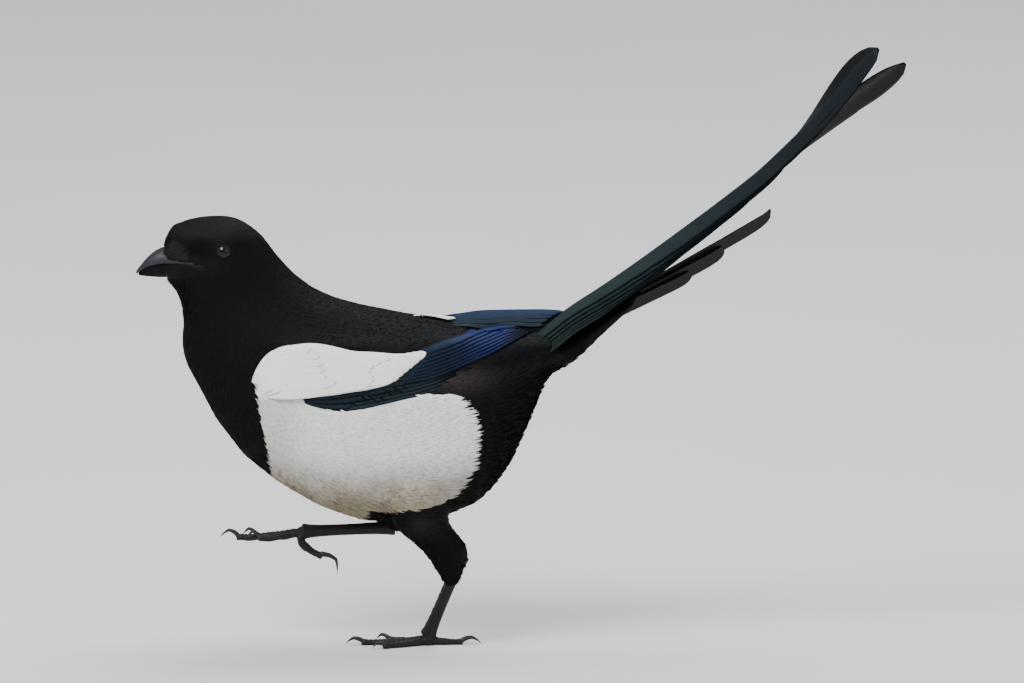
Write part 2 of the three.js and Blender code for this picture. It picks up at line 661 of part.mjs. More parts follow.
// A thigh with its trouser feathers, as a loft of level sections
function thighLoft(rows) {
  const rings = [];
  const sides = 14;
  const places = spaced(0, rows.length - 1, rows.length - 1);
  for (const t of places) {
    const [frontX, frontZ, rearX, rearZ, middleY, half] = smoothRow(rows, t);
    const front = vec((frontX - rearX) / 2, 0, (frontZ - rearZ) / 2);
    const middle = vec((frontX + rearX) / 2, middleY, (frontZ + rearZ) / 2);
    const ring = [];
    for (let i = 0; i < sides; i++) {
      const angle = 2 * Math.PI * i / sides;
      const point = middle.clone().addScaledVector(front, Math.cos(angle));
      point.y += half * Math.sin(angle);
      ring.push(point);
    }
    rings.push(ring);
  }
  return skinRings(rings);
}

function tarsus(heel, ankle, grow) {
  const curve = new THREE.LineCurve3(vec(...heel), vec(...ankle));
  const flare = (u) => 1 + 0.5 * Math.exp(-((1 - u) * 9)) + 0.5 * Math.exp(-u * 7);
  return sweep(curve, {
    across: () => vec(0, 1, 0),
    wide: (u) => TARSUS_WIDE * flare(u) + grow,
    deep: (u) => TARSUS_DEEP * flare(u) + grow,
    sides: 8,
    places: [0, 0.08, 0.2, 0.4, 0.6, 0.8, 0.92, 1],
  });
}

function toeRadius(toe) {
  const joints = toe.long / 9;
  return (u) => toe.radius * (1 - 0.35 * u + 0.1 * Math.cos(2 * Math.PI * joints * (1 - u)));
}

// A toe along its curve, and its claw hooked beyond the toe's end
function toeAndClaw(toe, points, clawPoints) {
  const curve = new THREE.CatmullRomCurve3(points);
  const clawCurve = new THREE.CatmullRomCurve3(clawPoints);
  const sideways = vec().crossVectors(curve.getTangentAt(1), vec(0, 0, 1));
  const radius = toeRadius(toe);
  const toeSolid = sweep(curve, { across: () => sideways, wide: radius, deep: radius, sides: 6, places: spaced(0, 1, 6) });
  const clawSolid = sweep(clawCurve, {
    across: () => sideways,
    wide: (u) => toe.radius * 0.42 * (1 - 0.92 * u),
    deep: (u) => toe.radius * 0.62 * (1 - 0.92 * u),
    sides: 5,
    places: spaced(0, 1, 4),
  });
  return { toeSolid, clawSolid, end: curve.getPointAt(1), heading: curve.getTangentAt(1) };
}

// The four toes of the standing foot, flat on the floor, and the four of the lifted foot
function standingToe(toe, ankle, side) {
  const turn = radians(180 + toe.heading * side);
  const ahead = vec(Math.cos(turn), Math.sin(turn), 0);
  const height = toe.radius * 0.62;
  const at = (distance, z) => vec(ankle[0], ankle[1], z).addScaledVector(ahead, distance);
  const start = at(0, ankle[2] * 0.62);
  const points = [start, at(toe.long * 0.35, height * 1.3), at(toe.long * 0.7, height), at(toe.long, height)];
  const claw = toe.claw;
  const clawPoints = [
    at(toe.long + GAP, height * 1.1),
    at(toe.long + claw * 0.45, height * 1.55),
    at(toe.long + claw * 0.9, 0.1),
  ];
  return { points, clawPoints };
}

function liftedToe(toe, ankle, side, index) {
  const isHind = index === 0;
  const spread = isHind ? 0 : toe.heading * 0.35 * side;
  const turn = radians(180 + spread);
  const ahead = vec(Math.cos(turn), Math.sin(turn), 0);
  if (isHind) {
    ahead.set(1, -0.15, 0).normalize();
  }
  const at = (distance, drop) => vec(...ankle).addScaledVector(ahead, distance).add(vec(0, 0, -drop));
  const long = toe.long;
  const claw = toe.claw;
  if (isHind) {
    return {
      points: [at(0, 0.5), at(-1.5, 4.5), at(3.5, 9.5), at(9.5, 12.4)],
      clawPoints: [at(9.8, 12.6), at(15.2, 15), at(17.0, 22)],
    };
  }
  return {
    points: [at(0, 0.5), at(long * 0.33, 1.6), at(long * 0.7, 2.9), at(long, 3.0)],
    clawPoints: [at(long + GAP, 2.9), at(long + claw * 0.45, 1.0), at(long + claw * 0.95, 3.4)],
  };
}

function buildLeg(name, side, { thigh, heel, ankle, stands }) {
  const bodyRoom = bodyLoft(GAP);
  const leg = tarsus(heel, ankle, 0);
  const thighSolid = thighLoft(thigh).subtract(bodyRoom).subtract(tarsus(heel, ankle, GAP));
  addPiece(`thigh_${name}`, thighSolid, BLACK, 0.75);

  const toes = TOES.map((toe, index) => {
    const place = stands ? standingToe(toe, ankle, side) : liftedToe(toe, ankle, side, index);
    return toeAndClaw(toe, place.points, place.clawPoints);
  });
  const hub = ball(vec(...ankle).add(vec(0, 0, stands ? -2.8 : -0.6)), 3.1, 8);
  let foot = joinAll([hub, ...toes.map((toe) => toe.toeSolid)]);
  foot = foot.subtract(tarsus(heel, ankle, GAP));
  foot = stands ? foot.trimByPlane([0, 0, 1], 0) : foot;
  toes.forEach((toe, index) => {
    const clear = toe.end.clone().addScaledVector(toe.heading, GAP * 0.5);
    const normal = toe.heading;
    const claw = toe.clawSolid.trimByPlane([normal.x, normal.y, normal.z], clear.dot(normal) + GAP * 0.5);
    addPiece(`claw_${name}_${index + 1}`, claw.trimByPlane([0, 0, 1], 0), HORN, 0.35);
  });
  addPiece(`foot_${name}`, foot, HORN, 0.6);
  addPiece(`tarsus_${name}`, leg, HORN, 0.6);
}

function buildBody() {
  const body = bodyLoft(0);
  buildHead(body);
  const headAlong = vec(HEAD_CUT.back[0] - HEAD_CUT.belly[0], 0, HEAD_CUT.back[1] - HEAD_CUT.belly[1]);
  const neckAlong = vec(NECK_CUT.back[0] - NECK_CUT.belly[0], 0, NECK_CUT.back[1] - NECK_CUT.belly[1]);
  let neck = keepSide(body, HEAD_CUT.back, [headAlong.z, -headAlong.x], GAP / 2);
  neck = keepSide(neck, NECK_CUT.back, [-neckAlong.z, neckAlong.x], GAP / 2);
  addPiece('neck', neck, BLACK, 0.7);

  const pockets = wingPocket(SIDES.left, 0).add(wingPocket(SIDES.right, 0));
  const tailWay = [Math.cos(radians(TAIL_RISE)), Math.sin(radians(TAIL_RISE))];
  const tailCutAt = [TAIL_ROOT[0] + tailWay[0] * TAIL_CUT, TAIL_ROOT[1] + tailWay[1] * TAIL_CUT];
  const tailWhole = buildTailWhole();
  const rear = body.add(tailWhole).subtract(pockets);
  let torso = keepSide(rear, NECK_CUT.back, [neckAlong.z, -neckAlong.x], GAP / 2);
  torso = keepSide(torso, tailCutAt, [-tailWay[0], -tailWay[1]], GAP / 2);
  addPiece('torso', torso, WHITE, 0.7);
  addPiece('tail', keepSide(rear, tailCutAt, tailWay, GAP / 2), BLUE, 0.4);
}

buildBody();
buildWings();
buildLeg('left', SIDES.left, { thigh: THIGH_LEFT, heel: HEEL_LEFT, ankle: ANKLE_LEFT, stands: true });
buildLeg('right', SIDES.right, { thigh: THIGH_RIGHT, heel: HEEL_RIGHT, ankle: ANKLE_RIGHT, stands: false });

export default model;
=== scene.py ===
# Looks of the Eurasian magpie: skin, plumage, flight and tail feathers, bill, eyes and legs.
# Shape work is in millimetres; mesh_object() turns it into metres, the frame's units.

import math

import bmesh
import bpy
import numpy as np
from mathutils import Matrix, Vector
from mathutils.bvhtree import BVHTree


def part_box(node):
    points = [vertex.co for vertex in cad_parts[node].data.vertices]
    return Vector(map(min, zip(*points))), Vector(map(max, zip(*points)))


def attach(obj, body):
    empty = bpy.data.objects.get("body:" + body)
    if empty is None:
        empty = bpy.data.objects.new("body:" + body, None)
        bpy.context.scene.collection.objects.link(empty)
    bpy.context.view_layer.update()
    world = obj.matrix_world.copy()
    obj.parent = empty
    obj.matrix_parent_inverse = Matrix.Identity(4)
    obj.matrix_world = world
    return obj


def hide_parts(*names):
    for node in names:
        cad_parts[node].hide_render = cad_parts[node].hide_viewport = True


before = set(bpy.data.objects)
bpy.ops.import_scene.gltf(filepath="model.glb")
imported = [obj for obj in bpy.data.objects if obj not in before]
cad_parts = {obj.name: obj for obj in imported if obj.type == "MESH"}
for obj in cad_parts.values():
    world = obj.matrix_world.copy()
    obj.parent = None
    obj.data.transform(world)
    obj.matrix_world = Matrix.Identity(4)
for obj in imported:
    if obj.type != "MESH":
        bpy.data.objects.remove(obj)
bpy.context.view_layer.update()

MM = 0.001
SIDES = {"left": -1, "right": 1}
random = np.random.default_rng(20)

# The camera looks along +Y and down by its tilt; the picture is this wide at the bird
CAMERA_TILT = math.radians(10)
CAMERA_AWAY = 7000
CAMERA_TARGET = (-5.6, 0, 154.1)
PICTURE_WIDE = 512
SENSOR = 36

# Where rays start: at the camera's side, level beside the bird, and above it
SIDE_START = 300
LEVEL_START = 80
TOP_START = 400

# CAD nodes under the plumage, and the voxel, smoothing and closing of the one form over them
FLESH_NODES = ("head", "neck", "torso", "thigh_left", "thigh_right")
WING_NODES = ("wing_left", "wing_right")
EYE_NODES = ("eye_left", "eye_right")
FLESH_VOXEL = 1.2
FLESH_SMOOTH = 6
FLESH_CLOSING = 1.6

# The folded wings over the rump: how far the near one sinks, there and again at its end, how far
# the far one rises and reaches back, and how often and how strongly their steps are smoothed
NEAR_WING_DROP = 6.5
NEAR_END_DROP = 4.0
FAR_WING_RISE = 3.6
FAR_WING_LONGER = 8.0
WING_SMOOTHING = 60
SMOOTHING_PULL = 0.6

# Soft forms of the face: place on one side, reach, and height, negative for a hollow
FACE_FORMS = [
    ((-166, 8.5, 207.5), 5.0, 1.0),
    ((-156, 12.5, 209.0), 5.5, 1.0),
    ((-146, 14.0, 209.5), 5.0, 0.7),
    ((-163, 11.0, 200.5), 5.0, -1.5),
    ((-156, 14.0, 200.0), 3.5, -0.7),
    ((-150, 15.5, 192.5), 7.0, 0.6),
]

# Middle line of the body from the bill's root to the tail's coverts, and how far its direction reaches
MIDLINE = np.array([
    (-180, 0, 197), (-157, 0, 197), (-140, 0, 181), (-116, 0, 150), (-80, 0, 122), (-42, 0, 114),
    (-4, 0, 132), (24, 0, 154), (52, 0, 176),
], float)
MIDLINE_REACH = 26
# The thigh's line, along which the leg feathers hang: x, y and z
THIGH_LINES = {"left": [(-56, -22, 84), (-34, -15, 36)], "right": [(-78, 20, 82), (-68, 17, 54)]}
THIGH_REACH = 13

# How wide an eyeball shows, how far its lids reach, and the rim and depth of the socket in the skin
EYE_SHOWS = 4.2
LID_REACH = 5.5
CORNEA_BULGE = 0.35
SOCKET_OUTER = 2.2
SOCKET_INNER = 0.6
SOCKET_DEPTH = 2.6

# White patches in the side view, as x and height in the picture, for either side of the bird
SCAPULAR_TOP = [
    (-134, 127), (-133, 134), (-129.8, 141.6), (-124.6, 147), (-117, 149.4), (-106.8, 150), (-97.8, 148.5),
    (-85, 145.8), (-72.3, 144.6), (-60.8, 143.8), (-52, 145.4), (-46.5, 147.2),
]
SCAPULAR_LOW = [
    (-133, 125), (-120, 124.2), (-111.8, 123.8), (-102.4, 124.4), (-94.5, 125.6), (-86.9, 127), (-81, 128.2),
    (-75.5, 129.6), (-68.2, 131.6),
]
SCAPULAR_REAR = [(-67, 133.4), (-60, 135.2), (-56.5, 137.8), (-53.7, 140.4), (-50, 144)]
SCAPULAR_PATCH = SCAPULAR_TOP + SCAPULAR_REAR[::-1] + SCAPULAR_LOW[::-1]
FLANK_PATCH = [
    (-133, 124.6), (-131, 111.5), (-128.5, 98.7), (-126.6, 86), (-124, 74), (-120, 50), (-82, 50),
    (-80, 63.2), (-77.8, 66.7), (-59, 67.2), (-53, 67.5), (-40.6, 70.6), (-31.6, 77), (-24.6, 87.2),
    (-23.4, 96.1), (-22.6, 107.6), (-26.4, 117.8), (-34, 125), (-49, 126), (-62, 123.6), (-74.5, 120.6),
    (-82, 119.2), (-91, 118.2), (-98, 119), (-105.5, 120.8), (-111.8, 123.6),
]
# Where the horn of the bill shows on the face, in the same view
HORN_PATCH = [
    (-182, 199), (-180.4, 196.5), (-178.6, 194.0), (-173.3, 192.3), (-168.1, 191.9), (-163, 191),
    (-158, 189.4), (-159.5, 187.6), (-162, 186.6), (-165, 185.2), (-169, 184.4), (-175, 184.2), (-181, 184.2),
]
HORN_REAR = -156
HORN_SINK = 0.9


def mix(a, b, f):
    return a + (b - a) * f


def smooth_step(low, high, value):
    t = np.clip((value - low) / (high - low), 0, 1)
    return t * t * (3 - 2 * t)


def unit(vectors):
    return vectors / np.maximum(np.linalg.norm(vectors, axis=-1, keepdims=True), 1e-9)


def picture_place(points):
    """x and height in the picture for points of either side, as if they were on the left side."""
    height = points[:, 2] * math.cos(CAMERA_TILT) - np.abs(points[:, 1]) * math.sin(CAMERA_TILT)
    return np.stack([points[:, 0], height], axis=1)


def camera_ray(x, height, side):
    """Start and way of the line of sight, or its mirror image, to x and a height in the picture."""
    level = math.cos(CAMERA_TILT)
    down = math.sin(CAMERA_TILT)
    start = Vector((x, side * SIDE_START, (height + SIDE_START * down) / level))
    return start, Vector((0, -side * level, -down))


def inside(outline, places):
    """True for each place in a closed outline."""
    found = np.zeros(len(places), bool)
    for (x0, z0), (x1, z1) in zip(outline, outline[1:] + outline[:1]):
        crosses = (z0 > places[:, 1]) != (z1 > places[:, 1])
        reach = x0 + (places[:, 1] - z0) * (x1 - x0) / (z1 - z0 if z1 != z0 else 1e-9)
        found ^= crosses & (places[:, 0] < reach)
    return found


def to_segment(points, a, b):
    """Share along a straight line, from 0 to 1, and distance from it for each point."""
    share = np.clip((points - a) @ (b - a) / max((b - a) @ (b - a), 1e-9), 0, 1)
    return share, np.linalg.norm(points - a - share[:, None] * (b - a), axis=1)


def edge_distance(outline, places):
    """How far each place is from an outline's edge."""
    corners = np.array(outline + outline[:1], float)
    return np.min([to_segment(places, a, b)[1] for a, b in zip(corners[:-1], corners[1:])], axis=0)


def white_at(points):
    """1 where the plumage is white and 0 where it is black."""
    places = picture_place(points)
    return (inside(SCAPULAR_PATCH, places) | inside(FLANK_PATCH, places)).astype(float)


def line_field(line, points):
    """Distance, direction and share along a line for each point."""
    line = np.array(line, float)
    best = np.full(len(points), 1e9)
    way = np.zeros((len(points), 3))
    share = np.zeros(len(points))
    for k, (a, b) in enumerate(zip(line[:-1], line[1:])):
        f, away = to_segment(points, a, b)
        nearer = away < best
        best[nearer] = away[nearer]
        way[nearer] = unit(b - a)
        share[nearer] = (k + f[nearer]) / (len(line) - 1)
    return best, way, share


def lie_at(points):
    """The way that the plumage lies at each point, before it is laid on the skin."""
    total = np.zeros((len(points), 3))
    for a, b in zip(MIDLINE[:-1], MIDLINE[1:]):
        away = to_segment(points, a, b)[1]
        total += np.exp(-(away / MIDLINE_REACH) ** 2)[:, None] * unit(b - a)
    total = unit(total)
    for thigh in THIGH_LINES.values():
        away, way = line_field(thigh, points)[:2]
        pull = np.exp(-(away / THIGH_REACH) ** 2) * smooth_step(74, 60, points[:, 2])
        total += 3 * pull[:, None] * way
    return unit(total)


def placed(name, data):
    """An object in the scene with its data."""
    piece = bpy.data.objects.new(name, data)
    bpy.context.scene.collection.objects.link(piece)
    return piece


def mesh_object(name, points, faces, material, slot, numbers=None, normals=None, uv=None):
    """A piece from points in millimetres and faces that all have as many corners."""
    points = np.asarray(points, np.float64)
    faces = np.asarray(faces, np.int32)
    mesh = bpy.data.meshes.new(name)
    count, corners = faces.shape
    mesh.vertices.add(len(points))
    mesh.vertices.foreach_set("co", (points * MM).ravel())
    mesh.loops.add(count * corners)
    mesh.loops.foreach_set("vertex_index", faces.ravel())
    mesh.polygons.add(count)
    mesh.polygons.foreach_set("loop_start", np.arange(0, count * corners, corners, dtype=np.int32))
    mesh.polygons.foreach_set("use_smooth", np.ones(count, bool))
    mesh.update(calc_edges=True)
    for key, values in (numbers or {}).items():
        layer = mesh.attributes.new(key, "FLOAT", "POINT")
        layer.data.foreach_set("value", np.asarray(values, np.float32))
    for key, places in (uv or {}).items():
        layer = mesh.uv_layers.new(name=key)
        layer.data.foreach_set("uv", np.asarray(places, np.float32)[faces.ravel()].ravel())
    mesh.validate()
    if normals is not None:
        mesh.normals_split_custom_set_from_vertices(normals)
    mesh.materials.append(material)
    piece = placed(name, mesh)
    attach(piece, "root")
    return piece


def mesh_arrays(mesh):
    """Points in millimetres, normals and corner lists of a mesh."""
    points, normals = np.zeros((2, len(mesh.vertices) * 3))
    mesh.vertices.foreach_get("co", points)
    mesh.vertices.foreach_get("normal", normals)
    return points.reshape(-1, 3) / MM, normals.reshape(-1, 3), [tuple(p.vertices) for p in mesh.polygons]


def loft(rings):
    """Points and outward triangles of a closed skin over rings of points, with a fan over each end."""
    rings = np.asarray(rings, float)
    count, around = rings.shape[:2]
    index = np.arange(count * around).reshape(count, around)
    ahead = np.roll(index, -1, axis=1)
    last = np.full(around, count * around + 1)
    triangles = np.vstack([
        np.stack([index[:-1], index[1:], ahead[1:]], axis=-1).reshape(-1, 3),
        np.stack([index[:-1], ahead[1:], ahead[:-1]], axis=-1).reshape(-1, 3),
        np.stack([index[0], ahead[0], last - 1], axis=-1),
        np.stack([ahead[-1], index[-1], last], axis=-1),
    ])
    points = np.vstack([rings.reshape(-1, 3), rings[0].mean(axis=0), rings[-1].mean(axis=0)])
    a, b, c = (points[triangles[:, k]] for k in range(3))
    if (a * np.cross(b, c)).sum() < 0:
        triangles = triangles[:, ::-1]
    return points, triangles


def remesh(piece, voxel):
    """Rebuilds a piece as one skin of even small faces."""
    modifier = piece.modifiers.new("voxels", "REMESH")
    modifier.mode = "VOXEL"
    modifier.voxel_size = voxel * MM


def swell(piece, far):
    """Moves the surface of a piece outwards by a distance in millimetres."""
    modifier = piece.modifiers.new("swell", "DISPLACE")
    modifier.mid_level = 0
    modifier.strength = far * MM


def refined(nodes, voxel, smooth, added=None, closing=0.0):
    """One smooth skin over CAD nodes and an added loft, its largest island only.

    A closing distance fills the grooves between nodes that are narrower than twice that.
    """
    joined = bmesh.new()
    for node in nodes:
        joined.from_mesh(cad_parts[node].data)
    if added is not None:
        points, triangles = added
        extra = bpy.data.meshes.new("added")
        extra.from_pydata((points * MM).tolist(), [], triangles.tolist())
        joined.from_mesh(extra)
    mesh = bpy.data.meshes.new("refining")
    joined.to_mesh(mesh)
    joined.free()
    piece = placed("refining", mesh)
    remesh(piece, voxel)
    if closing:
        swell(piece, closing)
        remesh(piece, voxel)
        swell(piece, -closing)
    soften = piece.modifiers.new("soften", "SMOOTH")
    soften.iterations = smooth
    soften.factor = 0.5
    graph = bpy.context.evaluated_depsgraph_get()
    made = bpy.data.meshes.new_from_object(piece.evaluated_get(graph))
    bpy.data.objects.remove(piece)
    shape = bmesh.new()
    shape.from_mesh(made)
    keep_largest(shape)
    shape.to_mesh(made)
    shape.free()
    return made


def keep_largest(shape):
    """Drops every island of a bmesh but the one with the most points."""
    left = set(shape.verts)
    largest = set()
    while left:
        edge = [left.pop()]
        island = set(edge)
        while edge:
            here = edge.pop()
            found = left.intersection(link.other_vert(here) for link in here.link_edges)
            left -= found
            island |= found
            edge.extend(found)
        largest = max(largest, island, key=len)
    bmesh.ops.delete(shape, geom=[v for v in shape.verts if v not in largest], context="VERTS")


def posed(points, normals):
    """The CAD's form with the wings as the bird carries them and the soft forms of its face."""
    x, y, z = points.T
    high = smooth_step(138, 158, z)
    near = 1 - smooth_step(-3, 10, y)
    drop = smooth_step(-46, -14, x) * NEAR_WING_DROP + smooth_step(-4, 20, x) * NEAR_END_DROP
    rise = smooth_step(-62, -34, x) * FAR_WING_RISE * np.exp(-((y - 12) / 7) ** 2)
    moved = points.copy()
    moved[:, 2] += high * (rise - near * drop)
    moved[:, 0] += high * (1 - near) * smooth_step(-8, 20, x) * FAR_WING_LONGER
    for place, reach, height in FACE_FORMS:
        for side in SIDES.values():
            away = np.linalg.norm(points - np.array(place) * [1, side, 1], axis=1) / reach
            moved += normals * (height * np.exp(-away ** 2))[:, None]
    return moved


def smoothed_wings(points, faces):
    """The form with the steps of the CAD's wing tiers smoothed away."""
    places = picture_place(points)
    wing = smooth_step(-142, -134, places[:, 0]) * smooth_step(32, 26, places[:, 0])
    wing *= smooth_step(112, 120, places[:, 1]) * smooth_step(4, 9, np.abs(points[:, 1]))
    starts, ends = np.array([(f[k], f[(k + 1) % len(f)]) for f in faces for k in range(len(f))]).T
    count = np.bincount(starts, minlength=len(points))
    for _ in range(WING_SMOOTHING):
        middle = np.transpose([np.bincount(starts, column[ends], len(points)) / count for column in points.T])
        points = points + (middle - points) * SMOOTHING_PULL * wing[:, None]
    return points


class Form:
    """A smooth closed surface that feathers are laid on."""

    def __init__(self, mesh, reshape=None):
        self.points, self.normals, self.faces = mesh_arrays(mesh)
        if reshape is not None:
            points = smoothed_wings(reshape(self.points, self.normals), self.faces)
            mesh.vertices.foreach_set("co", (points * MM).ravel())
            mesh.update()
            self.points, self.normals, self.faces = mesh_arrays(mesh)
        self.quads = np.array([f if len(f) == 4 else f + f[-1:] for f in self.faces])
        self.tree = BVHTree.FromPolygons(self.points.tolist(), self.faces)

    def settle(self, points):
        """The nearest places on the surface and the way out there."""
        places, ways = np.empty((2, len(points), 3))
        for i, point in enumerate(points):
            place, _, face, _ = self.tree.find_nearest(Vector(point))
            corners = list(self.faces[face])
            near = 1 / (np.linalg.norm(self.points[corners] - place, axis=1) + 1e-3)
            places[i] = place
            ways[i] = near @ self.normals[corners]
        return places, unit(ways)

    def hit(self, start, way, otherwise):
        """Where a ray meets the surface, or else the place nearest to another point."""
        place = self.tree.ray_cast(Vector(start), Vector(way))[0]
        return self.tree.find_nearest(Vector(otherwise))[0] if place is None else place

    def seen(self, route, side):
        """The places on one side that the camera, or its mirror image, sees along a route in the picture."""
        level = math.cos(CAMERA_TILT)
        return np.array([self.hit(*camera_ray(x, height, side), (x, side * 10, height / level))
                         for x, height in route])

    def below(self, x, y):
        """The places on the surface straight below each x and y."""
        return np.array([self.hit((a, b, TOP_START), (0, 0, -1), (a, b, 160)) for a, b in zip(x, y)])

    def half_width(self, x, z, side):
        """How far the surface lies from the middle plane, level with x and z."""
        place = self.tree.ray_cast(Vector((x, side * LEVEL_START, z)), Vector((0, -side, 0)))[0]
        return 0.0 if place is None else abs(place[1])


# Materials
BLACK_PLUME = (0.0022, 0.0022, 0.0024, 1)
# A paler, bluish black: partly the plumage's own lustre, partly painted sheen where light falls on the top of
# the bird
BLACK_PAINTED_SHEEN = (0.0100, 0.0105, 0.0125, 1)
WHITE_PLUME = (0.88, 0.88, 0.88, 1)
WHITE_SHADED = (0.27, 0.235, 0.165, 1)
SOOTY_PLUME = (0.030, 0.026, 0.024, 1)
VANE_TEAL = (0.0170, 0.0290, 0.0290, 1)
VANE_SLATE = (0.0100, 0.0230, 0.0500, 1)
VANE_ROYAL = (0.0130, 0.0280, 0.1250, 1)
VANE_DIM = (0.002, 0.002, 0.003, 1)
VANE_BLACK = (0.0022, 0.0022, 0.0026, 1)
VANE_WORN = (0.0045, 0.0044, 0.0048, 1)
IRIS_DARK = (0.006, 0.0036, 0.0026, 1)
IRIS_BROWN = (0.016, 0.009, 0.006, 1)
PUPIL = (0.0015, 0.0015, 0.002, 1)
LIMBUS = (0.004, 0.003, 0.003, 1)
FLOOR_DARK = (0.70, 0.70, 0.695, 1)
FLOOR_LIGHT = (0.74, 0.74, 0.735, 1)
# Horns: dark and light colour, roughness, shine, and the stretch of the streaks along x
HORNS = {
    # The bill is one dark horn: the upper half is painted paler as painted highlight on top, the lower half
    # much darker as painted shade beneath
    "upper_bill_horn": ((0.010, 0.0105, 0.014, 1), (0.028, 0.029, 0.038, 1), 0.42, 0.3, 0.2),
    "lower_bill_horn": ((0.0020, 0.0020, 0.0024, 1), (0.005, 0.0052, 0.006, 1), 0.5, 0.08, 0.2),
    "leg_scales": ((0.0035, 0.0035, 0.0038, 1), (0.010, 0.0095, 0.009, 1), 0.5, 0.25, 1),
    "claw_horn": ((0.004, 0.004, 0.0045, 1), (0.014, 0.0135, 0.014, 1), 0.36, 0.4, 0.3),
    "lid_skin": ((0.0025, 0.0025, 0.0027, 1), (0.006, 0.0058, 0.006, 1), 0.6, 0.12, 1),
}


class Nodes:
    """A material under construction."""

    def __init__(self, name):
        self.material = bpy.data.materials.new(name)
        self.material.use_nodes = True
        self.tree = self.material.node_tree
        self.shader = self.tree.nodes["Principled BSDF"]

    def add(self, kind, **settings):
        node = self.tree.nodes.new(kind)
        for key, value in settings.items():
            setattr(node, key, value)
        return node

    def link(self, start, end):
        self.tree.links.new(start, end)

    def number(self, name):
        """A number that the mesh carries at each point."""
        return self.add("ShaderNodeAttribute", attribute_name=name).outputs["Fac"]

    def set(self, **values):
        """Values or links for the shader's own sockets, with spaces written as underscores."""
        for key, value in values.items():
            self.give(self.shader.inputs[key.replace("_", " ")], value)

    def blend(self, share, first, second):
        """A colour between two colours or sockets."""
        node = self.add("ShaderNodeMix", data_type="RGBA")
        for socket, value in ((node.inputs[0], share), (node.inputs[6], first), (node.inputs[7], second)):
            self.give(socket, value)
        return node.outputs[2]

    def math(self, operation, first, second=0.0, clamp=False):
        node = self.add("ShaderNodeMath", operation=operation, use_clamp=clamp)
        self.give(node.inputs[0], first)
        self.give(node.inputs[1], second)
        return node.outputs[0]

    def give(self, socket, value):
        if isinstance(value, bpy.types.NodeSocket):
            self.link(value, socket)
        else:
            socket.default_value = value

    def range(self, value, low, high, to_low=0.0, to_high=1.0):
        node = self.add("ShaderNodeMapRange")
        self.give(node.inputs["Value"], value)
        for key, number in (("From Min", low), ("From Max", high), ("To Min", to_low), ("To Max", to_high)):
            node.inputs[key].default_value = number
        return node.outputs["Result"]

    def noise(self, scale, detail, vector=None, stretch=None):
        """Noise over the object's own coordinates, or over a vector."""
        node = self.add("ShaderNodeTexNoise")
        node.inputs["Scale"].default_value = scale
        node.inputs["Detail"].default_value = detail
        if vector is None:
            vector = self.add("ShaderNodeTexCoord").outputs["Object"]
        if stretch is not None:
            mapping = self.add("ShaderNodeMapping")
            mapping.inputs["Scale"].default_value = stretch
            self.link(vector, mapping.inputs["Vector"])
            vector = mapping.outputs["Vector"]
        self.link(vector, node.inputs["Vector"])
        return node.outputs["Fac"]

    def bump(self, height, strength, distance):
        node = self.add("ShaderNodeBump")
        node.inputs["Strength"].default_value = strength
        node.inputs["Distance"].default_value = distance
        self.link(height, node.inputs["Height"])
        self.link(node.outputs["Normal"], self.shader.inputs["Normal"])


def plumage_material():
    """Black and white plumage, for the skin and for every tuft over it."""
    n = Nodes("plumage")
    cloud = n.noise(60, 4.0)
    tone = n.number("tone")
    white = n.number("white")
    # The black is painted paler by its sheen number: partly the plumage's own lustre, partly painted sheen
    sheen = n.math("MULTIPLY", n.number("gloss"), n.range(tone, 0, 1, 0.6, 1.0))
    black = n.blend(sheen, BLACK_PLUME, BLACK_PAINTED_SHEEN)
    black = n.blend(n.number("sooty"), black, SOOTY_PLUME)
    # Painted shade: the white is blended towards its shaded colour by the shade number
    shade = n.math("MULTIPLY", n.number("shade"), n.range(cloud, 0.3, 0.7, 0.75, 1.1), clamp=True)
    shade = n.math("ADD", shade, n.math("MULTIPLY", tone, 0.10), clamp=True)
    colour = n.blend(white, black, n.blend(shade, WHITE_PLUME, WHITE_SHADED))
    # Painted shade: each tuft is painted darker towards its root, where it lies under its neighbours, more on
    # black than on white
    rooted = n.range(n.math("ADD", n.number("along"), n.math("MULTIPLY", tone, 0.3)), 0.1, 0.75, 1.0, 0.0)
    depth = n.math("MULTIPLY", rooted, n.range(white, 0, 1, 0.5, 0.12))
    n.set(Base_Color=n.blend(depth, colour, (0, 0, 0, 1)))
    n.set(Roughness=n.range(white, 0, 1, 0.62, 0.9), Specular_IOR_Level=0.08)
    return n.material


def vane_material():
    """Flight, tail and covert feathers: glossy outer webs, black inner webs and edges, fine barbs."""
    n = Nodes("vanes")
    parts = n.add("ShaderNodeSeparateXYZ")
    n.link(n.add("ShaderNodeUVMap", uv_map="Vane").outputs["UV"], parts.inputs[0])
    along, across = parts.outputs[:2]
    slanted = n.add("ShaderNodeCombineXYZ")
    slant = n.math("MULTIPLY", n.math("ABSOLUTE", across), 1.3)
    n.link(n.math("SUBTRACT", along, slant), slanted.inputs[0])
    n.link(n.math("MULTIPLY", across, 0.12), slanted.inputs[1])
    barbs = n.noise(2.2, 2.0, slanted.outputs[0])
    streaks = n.noise(0.5, 2.0, slanted.outputs[0])
    hue = n.number("hue")
    white = n.number("white")
    sheen = n.blend(n.range(hue, 0, 0.5), VANE_TEAL, VANE_SLATE)
    sheen = n.blend(n.range(hue, 0.5, 1), sheen, VANE_ROYAL)
    sheen = n.blend(n.range(streaks, 0.35, 0.7), sheen, n.blend(0.3, sheen, VANE_DIM))
    black = n.blend(n.number("tone"), VANE_BLACK, VANE_WORN)
    colour = n.blend(n.number("gloss"), black, sheen)
    pale = n.blend(n.math("MULTIPLY", n.range(streaks, 0.4, 0.7), 0.06), WHITE_PLUME, WHITE_SHADED)
    rough = n.math("ADD", n.range(barbs, 0.3, 0.7, 0.46, 0.6), n.math("MULTIPLY", white, 0.4))
    n.set(Base_Color=n.blend(white, colour, pale), Roughness=rough, Specular_IOR_Level=0.06)
    n.bump(barbs, 0.2, 0.0002)
    return n.material


